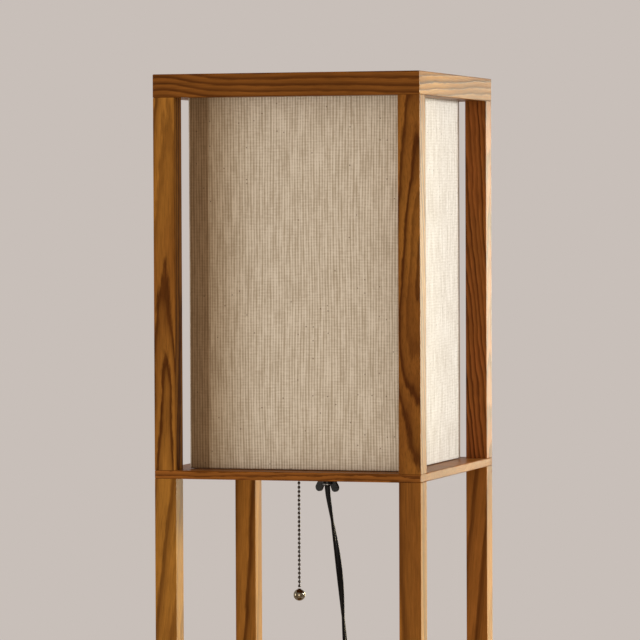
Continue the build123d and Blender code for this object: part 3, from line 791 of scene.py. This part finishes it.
class LAMP_OT_hardware(bpy.types.Operator):
    """Finishes for the studs, inserts, nipple, washer, wing nut and bushing"""

    bl_idname = "floor_lamp.hardware"
    bl_label = "Screws and wing nut"

    def execute(self, context):
        look = context.scene.lamp_colours
        # bright zinc on turned steel: a cool grey with a dull gloss
        zinc = worn_metal("zinc_plated_steel", look.zinc, 0.32)
        for node in ("joint_studs", "lamp_nipple", "lamp_washer", "pulley_pin", "pulley_spring"):
            dress(node, zinc)
        # turned brass: a warm yellow with a soft gloss
        brass = worn_metal("turned_brass", look.brass, 0.28)
        for node in ("thread_inserts", "screw_shell", "centre_contact", "terminal_screws"):
            dress(node, brass)
        # die-cast, then dipped in gloss enamel: soft highlights on rounded edges
        enamel = moulded(
            "black_enamel_dipped",
            look.enamel,
            0.3,
            coat=0.1,
            grain=0.8,
            depth=0.03,
            gloss_level=0.15,
        )
        dress("wing_nut", enamel)
        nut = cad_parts["wing_nut"]
        weld = nut.modifiers.new("joined", "WELD")
        weld.merge_threshold = 0.01 * mm
        edge = nut.modifiers.new("rounded", "BEVEL")
        edge.width, edge.segments, edge.angle_limit = 0.55 * mm, 3, math.radians(50)
        edge.harden_normals = True
        # moulded nylon: black with a soft, even gloss
        dress("cord_bushing", moulded("black_nylon_moulded", look.cord, 0.45))
        return {"FINISHED"}


class LAMP_OT_shade(bpy.types.Operator):
    """Linen over a white lining, with its wire rings"""

    bl_idname = "floor_lamp.shade"
    bl_label = "Linen shade"

    def execute(self, context):
        sizes, look = context.scene.lamp_sizes, context.scene.lamp_colours
        half = shade_high.x - 0.15 * mm
        corner = 1.8 * mm
        foot, head = shade_low.z + 0.4 * mm, shade_high.z - 0.4 * mm
        side = 2 * (half - corner)
        arc = corner * turn / 4
        round_length = 4 * (side + arc)
        columns = 4 * round(round_length / sizes.slub_pitch)

        def wall(around, out):
            """The point on the box's plan, from the front left corner round, and this far out."""
            edge, along = divmod(around % round_length, side + arc)
            way = Vector(((1, 0, 0), (0, 1, 0), (-1, 0, 0), (0, -1, 0))[int(edge) % 4])
            face = Vector((way.y, -way.x, 0))
            if along <= side:
                return face * (half + out) + way * (along - side / 2)
            bend = (along - side) / corner
            middle = face * (half - corner) + way * side / 2
            outward = face * math.cos(bend) + way * math.sin(bend)
            return middle + outward * (corner + out)

        # rows run from the inner hem below, round the edge, up the wall and over to the upper hem
        film, fold, steps = 0.95 * mm, 0.4 * mm, 22
        rows = [
            (-film, foot + sizes.hem_width), (-film, foot + fold),
            (-film / 2, foot), (0.0, foot + fold),
        ]
        for i in range(steps + 1):
            rows.append((0.0, foot + 1.5 * mm + (head - foot - 3 * mm) * i / steps))
        rows += [
            (0.0, head - fold), (-film / 2, head),
            (-film, head - fold), (-film, head - sizes.hem_width),
        ]
        points, faces, marks, lap_and_painted_shade = [], [], [], []
        for out, height in rows:
            for column in range(columns):
                around = round_length * column / columns
                drift = 3 * mm * noise.noise(Vector((around * 14, height * 5, 3.1)))
                drift += 0.8 * mm * noise.noise(Vector((around * 60, height * 14, 8.3)))
                slub = 0.5 + 0.5 * math.cos(turn * (around + drift) / sizes.slub_pitch)
                thread = around / sizes.slub_pitch
                yarn = 0.6 + 0.8 * noise.noise(Vector((thread, height * 24, 7.7)))
                proud = 0 if out else sizes.slub_height * slub * max(0.1, yarn)
                if not out and around < sizes.lap_width:
                    proud += 0.12 * mm
                glued = abs(around - 2 * (side + arc) + arc / 2) < 0.9 * mm
                if glued and not out:
                    proud += 0.9 * mm
                place = wall(around, out + proud)
                points.append((place.x, place.y, height))
                sag = 1.5 * mm * noise.noise(Vector((around * 11, height * 3, 5.2)))
                marks.append((around + drift, height - foot + sag))
                # full in the lap, doubled cloth with the corner post's shadow painted in, then
                # painted shade fading out over 70 mm; a thin line at the glued corner
                past = (around - sizes.lap_width) / (70 * mm)
                painted_shade_fade = 0.55 * max(0.0, 1 - past) ** 2.8
                lap_and_painted_shade.append(1.0 if past < 0 else 0.84 if glued else painted_shade_fade)
        for r in range(len(rows) - 1):
            for c in range(columns):
                d = (c + 1) % columns
                here, above = r * columns, (r + 1) * columns
                faces.append((here + c, here + d, above + d, above + c))
        linen = new_piece("linen_cloth", points, faces, slub_linen())
        uv = linen.data.uv_layers.new(name="cloth")
        for loop in linen.data.loops:
            u, v = marks[loop.vertex_index]
            uv.data[loop.index].uv = (u, v)
        for face in linen.data.polygons:
            if face.vertices[0] % columns == columns - 1:
                for index in face.loop_indices:
                    if linen.data.loops[index].vertex_index % columns == 0:
                        uv.data[index].uv[0] += round_length
        # the lap's darkening and the painted shade beside it go onto the cloth
        layers = linen.data.attributes.new("lap_and_painted_shade", "FLOAT", "POINT")
        layers.data.foreach_set("value", lap_and_painted_shade)
        thick = linen.modifiers.new("thickness", "SOLIDIFY")
        thick.thickness, thick.offset = sizes.cloth_thickness, -1
        settle(linen)
        linen.data.polygons.foreach_set("use_smooth", [True] * len(linen.data.polygons))
        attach(linen, "shade")

        # lining: white styrene film laminated behind the linen, smooth and faintly glossy
        rings = []
        inner, outer = half - 0.82 * mm, half - 0.5 * mm
        heights = [foot + 0.8 * mm + (head - foot - 1.6 * mm) * i / 12 for i in range(13)]
        count = 160
        for way in [(outer, h) for h in heights] + [(inner, h) for h in reversed(heights)]:
            rings.append(
                [
                    (*wall(round_length * i / count, way[0] - half).xy, way[1])
                    for i in range(count)
                ]
            )
        points, faces = skin_rings(rings, closed_ends=False)
        last = (len(rings) - 1) * count
        faces += [
            (last + j, last + (j + 1) % count, (j + 1) % count, j) for j in range(count)
        ]
        film_finish = moulded(
            "styrene_film_white",
            look.lining,
            0.5,
            grain=0.6,
            depth=0.03,
            patchy=0.03,
        )
        lining = new_piece("shade_lining", points, faces, film_finish, smooth=False)
        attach(lining, "shade")
        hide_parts("shade_fabric")
        # steel wire dipped in white enamel: thin bright highlights along it
        rings_finish = moulded(
            "white_enamelled_wire", linear("#E6E3DC"), 0.35, coat=0.3, patchy=0.05
        )
        dress("shade_rings", rings_finish)
        return {"FINISHED"}


class LAMP_OT_holder(bpy.types.Operator):
    """Finishes for the pull-chain lamp holder and its inside"""

    bl_idname = "floor_lamp.holder"
    bl_label = "Lamp holder"

    def execute(self, context):
        look = context.scene.lamp_colours
        # spun brass, nickel plated: a warm silver with fine level spinning marks
        nickel = worn_metal("nickel_plated_brass", look.nickel, 0.2, drawn=(1, 1, 9))
        for node in ("socket_cap", "socket_shell", "chain_arm"):
            dress(node, nickel)
        # vulcanised fibre: a dull, slightly rough brown card
        fibre = moulded("vulcanised_fibre", linear("#6A5240"), 0.7, grain=0.4, depth=0.1)
        dress("socket_liner", fibre)
        # phenolic and nylon straight from the mould: even, with a soft gloss
        dress("switch_body", moulded("black_phenolic_moulded", linear("#1B1715"), 0.38))
        pulley = moulded("white_nylon_moulded", linear("#E2DED2"), 0.42, patchy=0.04)
        dress("switch_pulley", pulley)
        # PVC, extruded over the wire: black with a soft gloss
        dress("cord_leads", moulded("black_pvc_extruded", look.cord, 0.42))
        return {"FINISHED"}


class LAMP_OT_bulb(bpy.types.Operator):
    """Finishes for the bulb"""

    bl_idname = "floor_lamp.bulb"
    bl_label = "Bulb"

    def execute(self, context):
        look = context.scene.lamp_colours
        # rolled cap, nickel plated: a warm silver, duller than the holder
        dress("bulb_screw_cap", worn_metal("nickel_plated_cap", look.nickel, 0.24))
        # moulded housing: an even, half-dull white
        dress("bulb_housing", moulded("white_housing_moulded", linear("#DEDCD6"), 0.4, patchy=0.03))
        # blown opal globe: milky and smooth under a clear gloss
        globe = moulded(
            "opal_diffuser_blown",
            linear("#F1EEE6"),
            0.24,
            coat=0.4,
            grain=0.9,
            depth=0.02,
            patchy=0.02,
        )
        dress("bulb_globe", globe)
        return {"FINISHED"}


def chain_tree():
    """Beads and the wire between them, hung in a line below a start point."""
    tree = bpy.data.node_groups.new("ball_chain", "GeometryNodeTree")
    face = tree.interface
    face.new_socket("Geometry", in_out="OUTPUT", socket_type="NodeSocketGeometry")
    face.new_socket("Bead", in_out="INPUT", socket_type="NodeSocketObject")
    for name, kind in (
        ("Beads", "NodeSocketInt"),
        ("Start", "NodeSocketVector"),
        ("Pitch", "NodeSocketFloat"),
        ("Link Radius", "NodeSocketFloat"),
        ("Finish", "NodeSocketMaterial"),
    ):
        face.new_socket(name, in_out="INPUT", socket_type=kind)
    given = add(tree, "NodeGroupInput").outputs
    fall = add(tree, "ShaderNodeMath", {0: given["Pitch"], 1: -1.0}, operation="MULTIPLY")
    step = add(tree, "ShaderNodeCombineXYZ", {"Z": fall.outputs[0]})
    half_fall = add(tree, "ShaderNodeMath", {0: given["Pitch"], 1: -0.5}, operation="MULTIPLY")
    half_step = add(tree, "ShaderNodeCombineXYZ", {"Z": half_fall.outputs[0]})
    between = add(
        tree, "ShaderNodeVectorMath", {0: given["Start"], 1: half_step.outputs[0]}, operation="ADD"
    )
    bead = add(tree, "GeometryNodeObjectInfo", {"Object": given["Bead"]})
    bead_line = add(
        tree,
        "GeometryNodeMeshLine",
        {"Count": given["Beads"], "Start Location": given["Start"], "Offset": step.outputs[0]},
    )
    beads = add(
        tree,
        "GeometryNodeInstanceOnPoints",
        {"Points": bead_line.outputs[0], "Instance": bead.outputs["Geometry"]},
    )
    fewer = add(tree, "ShaderNodeMath", {0: given["Beads"], 1: 1.0}, operation="SUBTRACT")
    link_line = add(
        tree,
        "GeometryNodeMeshLine",
        {
            "Count": fewer.outputs[0],
            "Start Location": between.outputs[0],
            "Offset": step.outputs[0],
        },
    )
    wire = add(
        tree,
        "GeometryNodeMeshCylinder",
        {"Vertices": 8, "Radius": given["Link Radius"], "Depth": given["Pitch"]},
    )
    links = add(
        tree,
        "GeometryNodeInstanceOnPoints",
        {"Points": link_line.outputs[0], "Instance": wire.outputs["Mesh"]},
    )
    both = add(tree, "GeometryNodeJoinGeometry")
    tree.links.new(beads.outputs[0], both.inputs[0])
    tree.links.new(links.outputs[0], both.inputs[0])
    real = add(tree, "GeometryNodeRealizeInstances", {0: both.outputs[0]})
    round_off = add(tree, "GeometryNodeSetShadeSmooth", {0: real.outputs[0]})
    finished = add(
        tree, "GeometryNodeSetMaterial", {0: round_off.outputs[0], "Material": given["Finish"]}
    )
    add(tree, "NodeGroupOutput", {0: finished.outputs[0]})
    return tree


class LAMP_OT_chain(bpy.types.Operator):
    """Ball chain from the holder's arm down to the pull ball"""

    bl_idname = "floor_lamp.chain"
    bl_label = "Pull chain"

    def execute(self, context):
        sizes, look = context.scene.lamp_sizes, context.scene.lamp_colours
        pivot = sum(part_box("pull_chain_pivot"), Vector()) / 2
        # stamped steel, nickel plated: dark, tarnished beads. The halves close round the wire, so
        # each pole has a small flat lip
        steel = worn_metal("nickel_plated_bead", look.bead, 0.22, grit=0.6)
        r = sizes.bead_radius
        profile = [
            (0.62 * r, -0.84 * r), (0.9 * r, -0.44 * r), (r, 0),
            (0.9 * r, 0.44 * r), (0.62 * r, 0.84 * r),
        ]
        bead = turned_shape("bead_pattern", profile, (0, 0, 0), steel, 12)
        tree = chain_tree()
        socket = {
            item.name: item.identifier
            for item in tree.interface.items_tree
            if item.in_out == "INPUT"
        }
        runs = {
            # name: node, body, first bead's place above the pivot, beads
            "bead_chain_upper": ("pull_chain_upper", "chain_top", 8, 8),
            "bead_chain_lower": ("pull_chain_lower", "chain_hanging", -1, 26),
        }
        for name, (node, body, first, count) in runs.items():
            piece = new_piece(name, [], [], steel)
            lay = piece.modifiers.new("beads", "NODES")
            lay.node_group = tree
            lay[socket["Bead"]] = bead
            lay[socket["Beads"]] = count
            lay[socket["Start"]] = pivot + Vector((0, 0, first * sizes.bead_pitch))
            lay[socket["Pitch"]] = sizes.bead_pitch
            lay[socket["Link Radius"]] = sizes.link_radius
            lay[socket["Finish"]] = steel
            settle(piece)
            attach(piece, body)
            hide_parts(node)
        swing = turned_shape("bead_swing", profile, pivot, steel, 16)
        bpy.data.objects.remove(bead)
        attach(swing, "chain_link")
        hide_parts("pull_chain_pivot")

        # pull ball: a smooth ball with a collar where the chain goes in; the real one is two
        # pressed halves with a rolled seam
        middle = sum(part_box("pull_ball"), Vector()) / 2
        radius = (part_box("pull_ball")[1].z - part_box("pull_ball")[0].z) / 2
        outline = [(0.0005, -radius * 0.999)]
        for i in range(1, 18):
            angle = turn / 2 * i / 18 - turn / 4
            outline.append((radius * math.cos(angle), radius * math.sin(angle)))
        outline = outline[:-1] + [
            (0.3 * radius, 0.945 * radius),
            (0.3 * radius, 1.02 * radius),
            (0.27 * radius, 1.05 * radius),
            (0.16 * radius, 1.05 * radius),
            (0.15 * radius, 0.9 * radius),
        ]
        # chromed and polished: it mirrors the room, a little warm and dim
        bright = worn_metal("chromed_ball", linear("#857D6B"), 0.08, scratch=0.03, grit=0.5)
        ball = turned_shape("chrome_pull_ball", outline, middle, bright, 48)
        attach(ball, "chain_hanging")
        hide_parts("pull_ball")
        return {"FINISHED"}


# the cord's route in metres: out of the nipple, down behind the lamp, along the floor
cord_route = [
    (0, 0, 1.2068), (0.0002, 0.0004, 1.199), (0.0018, 0.0034, 1.184), (0.0025, 0.0105, 1.166),
    (0.0028, 0.0235, 1.138), (0.0018, 0.038, 1.106), (0.0006, 0.0495, 1.07), (0.0004, 0.061, 1.026),
    (0.001, 0.076, 0.978), (0.002, 0.095, 0.93), (0.0035, 0.118, 0.884), (0.005, 0.141, 0.843),
    (0.0056, 0.15, 0.803), (0.006, 0.153, 0.757), (0.0072, 0.1535, 0.69), (0.0098, 0.153, 0.618),
    (0.0138, 0.152, 0.546), (0.0188, 0.151, 0.474), (0.0242, 0.1502, 0.402), (0.0292, 0.1498, 0.33),
    (0.0334, 0.15, 0.258), (0.0364, 0.1504, 0.188), (0.038, 0.1507, 0.122), (0.0385, 0.1505, 0.074),
    (0.0385, 0.1495, 0.044), (0.0385, 0.143, 0.0225), (0.0385, 0.128, 0.0085),
    (0.0385, 0.108, 0.0048), (0.0385, 0.092, 0.0044), (0.0385, 0.078, 0.0044),
]
tail_route = [
    (0.032, 0.066, 0.0109), (0.032, 0.05, 0.0109), (0.0324, 0.0335, 0.009), (0.0334, 0.017, 0.0072),
    (0.0338, 0.003, 0.0072),
]
coil_start = (0.0385, 0.072, 0.0044)


def coil_points():
    """Control points of the put-away coil: wound inwards, a climb, and outwards on top."""
    points = []
    x, y, z = coil_start
    steps = 8
    reach = 1 / math.cos(turn / 4 / steps)
    radii = [0.0411 - 0.00325 * i for i in range(6)] + [0.0281 + 0.00325 * i for i in range(4)]
    for number, radius in enumerate(radii):
        way = -1 if number % 2 == 0 else 1
        rise = 0.0065 if number == 5 else 0
        for i in range(steps):
            share = (i + 0.5) / steps
            angle = (0 if way < 0 else turn / 2) - turn / 2 * share
            points.append(
                (
                    x + way * radius + radius * reach * math.cos(angle),
                    y + radius * reach * math.sin(angle),
                    z + rise * (0.5 - 0.5 * math.cos(turn / 2 * share)),
                )
            )
        x, z = x + 2 * way * radius, z + rise
    return points


def spline_line(name, route):
    """Points read from one smooth spline that has the route's points as its control points."""
    data = bpy.data.curves.new(name, "CURVE")
    data.dimensions = "3D"
    data.resolution_u = 12
    spline = data.splines.new("NURBS")
    spline.points.add(len(route) - 1)
    for point, place in zip(spline.points, route):
        point.co = (*place, 1)
    spline.order_u = 3
    spline.use_endpoint_u = True
    lead = bpy.data.objects.new(name, data)
    bpy.context.scene.collection.objects.link(lead)
    bpy.context.view_layer.update()
    mesh = bpy.data.meshes.new_from_object(
        lead.evaluated_get(bpy.context.evaluated_depsgraph_get())
    )
    line = [v.co.copy() for v in mesh.vertices]
    bpy.data.objects.remove(lead)
    return line


class LAMP_OT_cord(bpy.types.Operator):
    """Flat twin cord with its twist, put-away coil, ties and plug"""

    bl_idname = "floor_lamp.cord"
    bl_label = "Flat cord and plug"

    def execute(self, context):
        sizes, look = context.scene.lamp_sizes, context.scene.lamp_colours
        # PVC, extruded over both cores: black, smooth, with a weak gloss
        sheath = moulded(
            "black_pvc_extruded_cord", look.cord, 0.4, grain=0.5, depth=0.01, gloss_level=0.15
        )
        coil = coil_points()
        line = spline_line("cord_line", cord_route + coil + tail_route)
        run = [0.0]
        for a, b in zip(line, line[1:]):
            run.append(run[-1] + (b - a).length)
        coil_from = next(s for s, p in zip(run, line) if p.z < 0.006 and p.y < 0.074)
        coil_to = max(s for s, p in zip(run, line) if p.y > 0.066 and p.z > 0.0105)

        def below(height):
            return next(s for s, p in zip(run, line) if p.z <= height)

        # seen from the front the flat lead shows its edge, its face, then its edge again
        twist = [
            (0.0, -140), (below(1.171), -90), (below(1.122), 0), (below(1.0765), 90),
            (below(0.99), 200), (below(0.8), 350), (below(0.4), 620), (coil_from, 810),
            (coil_to, 810), (run[-1], 900),
        ]

        def twisted(s):
            for (s0, a0), (s1, a1) in zip(twist, twist[1:]):
                if s <= s1:
                    share = (s - s0) / max(1e-9, s1 - s0)
                    share = share if s1 < coil_from else share * share * (3 - 2 * share)
                    return math.radians(a0 + (a1 - a0) * share)
            return math.radians(twist[-1][1])

        core = sizes.cord_thickness / 2
        apart = sizes.cord_width / 2 - core
        section = []
        for i in range(11):
            angle = math.radians(-125 + 25 * i)
            section.append((apart + core * math.cos(angle), core * math.sin(angle)))
        section.append((0, 0.62 * core))
        for i in range(11):
            angle = math.radians(55 + 25 * i)
            section.append((-apart + core * math.cos(angle), core * math.sin(angle)))
        section.append((0, -0.62 * core))
        across = Vector((math.cos(view_azimuth), math.sin(view_azimuth), 0))
        rings = []
        for i, place in enumerate(line):
            ahead = (line[min(i + 1, len(line) - 1)] - line[max(i - 1, 0)]).normalized()
            if coil_from < run[i] < coil_to:
                wide = Vector((0, 0, 1))
                wide = (wide - ahead * wide.dot(ahead)).normalized()
            else:
                flat_way = (across - ahead * across.dot(ahead)).normalized()
                upright = ahead.cross(flat_way)
                a = twisted(run[i])
                wide = flat_way * math.cos(a) + upright * math.sin(a)
            thin = ahead.cross(wide)
            rings.append([tuple(place + wide * x + thin * y) for x, y in section])
        points, faces = skin_rings(rings)
        cord = new_piece("flat_twin_cord", points, faces, sheath)
        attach(cord, "frame")
        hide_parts("cord_run", "cord_coil", "cord_tail")

        # plug: moulded on, with ribs on the tapered sleeve and finger grips on the body; a station
        # is how far along, half the width, half the height and how square, in mm
        start = Vector(tail_route[-1])
        ahead = (start - Vector(tail_route[-2])).normalized()
        side = ahead.cross(Vector((0, 0, 1)))
        stations = []
        for i in range(41):
            d = 20 * i / 40
            swell = d / 20
            groove = 0.28 * (0.5 - 0.5 * math.cos(turn * d / 4)) if 1.5 < d < 18.5 else 0
            wide, high = 3.3 + 2.7 * swell - groove, 3.3 + 1.2 * swell - groove
            stations.append((d, wide, high, 2.1 + 0.6 * swell))
        stations += [
            (22, 6.9, 4.75, 2.8), (25, 8.9, 5.4, 3.0), (28, 10.7, 6.1, 3.2), (30, 11.5, 6.5, 3.3),
            (32, 11.8, 6.7, 3.4), (33, 11.55, 6.62, 3.4), (34.5, 11.55, 6.62, 3.4),
            (35.5, 11.95, 6.8, 3.4), (36.5, 11.65, 6.68, 3.4), (38, 11.65, 6.68, 3.4),
            (39, 12.1, 6.85, 3.4), (40, 11.8, 6.75, 3.4), (41.5, 11.8, 6.75, 3.4),
            (42.5, 12.4, 6.95, 3.4), (45.3, 12.5, 7.0, 3.4), (45.8, 12.3, 6.8, 3.3),
            (46, 11.8, 6.3, 3.2),
        ]
        rings = []
        for d, wide, high, power in stations:
            ring = []
            for i in range(40):
                a = turn * i / 40
                x = math.copysign(abs(math.cos(a)) ** (2 / power), math.cos(a)) * wide * mm
                z = math.copysign(abs(math.sin(a)) ** (2 / power), math.sin(a)) * high * mm
                ring.append(tuple(start + ahead * d * mm + side * x + Vector((0, 0, z))))
            rings.append(ring)
        points, faces = skin_rings(rings)
        plug = new_piece("moulded_plug", points, faces, sheath)
        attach(plug, "frame")
        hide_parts("plug_body")
        # nickel plated blades, and nylon ties with the mould's soft gloss
        dress("plug_blades", worn_metal("nickel_plated_blade", look.nickel, 0.25))
        dress("cord_ties", moulded("black_nylon_tie", look.cord, 0.4))
        return {"FINISHED"}


class LAMP_OT_stage(bpy.types.Operator):
    """Floor, backdrop, lamps and the camera"""

    bl_idname = "floor_lamp.stage"
    bl_label = "Stage and camera"

    def execute(self, context):
        look = context.scene.lamp_colours
        scene = context.scene
        scene.view_settings.view_transform = "Standard"
        reach, under = 6.0, -0.0001
        # matt paper with a faint mottle, 25 mm across
        floor_finish, tree, shader = material("plain_floor_paper", **{"Roughness": 0.9})
        place = add(tree, "ShaderNodeTexCoord")
        tooth = add(
            tree,
            "ShaderNodeTexNoise",
            {"Vector": place.outputs["Object"], "Scale": 1 / (25 * mm), "Detail": 3},
        )
        tone = add(
            tree,
            "ShaderNodeValToRGB",
            {"Fac": tooth.outputs["Fac"]},
            [(0.3, linear("#BDB5AF")), (0.7, linear("#C6BEB8"))],
        )
        tree.links.new(tone.outputs["Color"], shader.inputs["Base Color"])
        floor = new_piece(
            "plain_floor",
            [(x * reach, y * reach, under) for x, y in ((-1, -1), (1, -1), (1, 1), (-1, 1))],
            [(0, 1, 2, 3)],
            floor_finish,
            smooth=False,
        )

        warm = (1.0, 0.84, 0.69)
        world = bpy.data.worlds.new("soft_room")
        scene.world = world
        world.use_nodes = True
        tree = world.node_tree
        tree.nodes.clear()
        path = add(tree, "ShaderNodeLightPath")
        seen = add(
            tree,
            "ShaderNodeMath",
            {0: path.outputs["Is Camera Ray"], 1: path.outputs["Is Glossy Ray"]},
            operation="ADD",
        )
        shown = add(
            tree,
            "ShaderNodeMath",
            {0: seen.outputs[0], 1: path.outputs["Is Transmission Ray"]},
            operation="ADD",
            use_clamp=True,
        )
        # the room lights the lamp warmly; the camera and reflections see the pale backdrop
        room = add(tree, "ShaderNodeBackground", {"Color": opaque(warm), "Strength": 0.6})
        ground = add(
            tree,
            "ShaderNodeBackground",
            {"Color": opaque(look.backdrop), "Strength": 1.0},
        )
        either = add(
            tree,
            "ShaderNodeMixShader",
            {0: shown.outputs[0], 1: room.outputs[0], 2: ground.outputs[0]},
        )
        add(tree, "ShaderNodeOutputWorld", {"Surface": either.outputs[0]})

        aim = Vector((0, 0, 1.3))
        lamps = {
            # name: place, width, height, watts, colour
            "window_right": ((2.35, 0.86, 1.72), 0.45, 0.3, 58, (0.96, 1.0, 1.05)),
            "window_left": ((-2.3, -0.9, 1.2), 0.9, 1.3, 12, (1.0, 0.93, 0.84)),
            "sheen_right_back": ((0.76, 2.3, 1.37), 0.45, 0.58, 14, (1.0, 0.94, 0.68)),
            "sheen_right_low": ((0.76, 2.3, 0.78), 0.45, 0.5, 7.5, (1.0, 0.8, 0.42)),
            "fill_front": ((0.6, -3.2, 1.0), 1.6, 1.6, 22.7, warm),
        }
        for name, (spot, width, height, watts, shade) in lamps.items():
            data = bpy.data.lights.new(name, "AREA")
            data.shape, data.size, data.size_y = "RECTANGLE", width, height
            data.energy, data.color = watts, shade
            lamp = bpy.data.objects.new(name, data)
            lamp.location = spot
            lamp.rotation_euler = (aim - Vector(spot)).to_track_quat("-Z", "Y").to_euler()
            lamp.visible_camera = False
            scene.collection.objects.link(lamp)

        # the camera as fitted to the photograph: its way of looking, place and focal length
        tilt, roll = 0.028, -0.0041
        stand = Vector((1.10965, -3.6052, 1.47193))
        focal_pixels, picture_pixels, sensor_mm = 3921.53, 640, 36
        right = Vector((math.cos(view_azimuth), math.sin(view_azimuth), 0))
        ahead = Vector(
            (
                -math.sin(view_azimuth) * math.cos(tilt),
                math.cos(view_azimuth) * math.cos(tilt),
                -math.sin(tilt),
            )
        )
        up = right.cross(ahead)
        rolled_right = right * math.cos(roll) + up * math.sin(roll)
        rolled_up = up * math.cos(roll) - right * math.sin(roll)
        camera = bpy.data.objects.new("photo_camera", bpy.data.cameras.new("photo_camera"))
        camera.data.sensor_width = sensor_mm
        camera.data.lens = focal_pixels / picture_pixels * sensor_mm
        camera.data.clip_end = 100
        turned = Matrix((rolled_right, rolled_up, -ahead)).transposed()
        camera.matrix_world = Matrix.Translation(stand) @ turned.to_4x4()
        scene.collection.objects.link(camera)
        scene.camera = camera
        return {"FINISHED"}


pieces = (
    LAMP_OT_stage,
    LAMP_OT_cord,
    LAMP_OT_wood,
    LAMP_OT_hardware,
    LAMP_OT_shade,
    LAMP_OT_holder,
    LAMP_OT_bulb,
    LAMP_OT_chain,
)


class LAMP_PT_sidebar(bpy.types.Panel):
    bl_idname = "LAMP_PT_sidebar"
    bl_label = "Floor Lamp"
    bl_space_type = "VIEW_3D"
    bl_region_type = "UI"
    bl_category = "Floor Lamp"

    def draw(self, context):
        column = self.layout.column()
        for piece in pieces:
            column.operator(piece.bl_idname)
        for group in (context.scene.lamp_sizes, context.scene.lamp_colours):
            box = self.layout.box()
            for name in group.bl_rna.properties.keys():
                if name not in ("rna_type", "name"):
                    box.prop(group, name)


classes = (LampSizes, LampColours, *pieces, LAMP_PT_sidebar)


def register():
    for item in classes:
        bpy.utils.register_class(item)
    bpy.types.Scene.lamp_sizes = bpy.props.PointerProperty(type=LampSizes)
    bpy.types.Scene.lamp_colours = bpy.props.PointerProperty(type=LampColours)


def unregister():
    del bpy.types.Scene.lamp_sizes, bpy.types.Scene.lamp_colours
    for item in reversed(classes):
        bpy.utils.unregister_class(item)


def main():
    register()
    bpy.ops.floor_lamp.stage()
    bpy.ops.floor_lamp.cord()
    bpy.ops.floor_lamp.wood()
    bpy.ops.floor_lamp.hardware()
    bpy.ops.floor_lamp.shade()
    bpy.ops.floor_lamp.holder()
    bpy.ops.floor_lamp.bulb()
    bpy.ops.floor_lamp.chain()


if __name__ == "__main__":
    main()
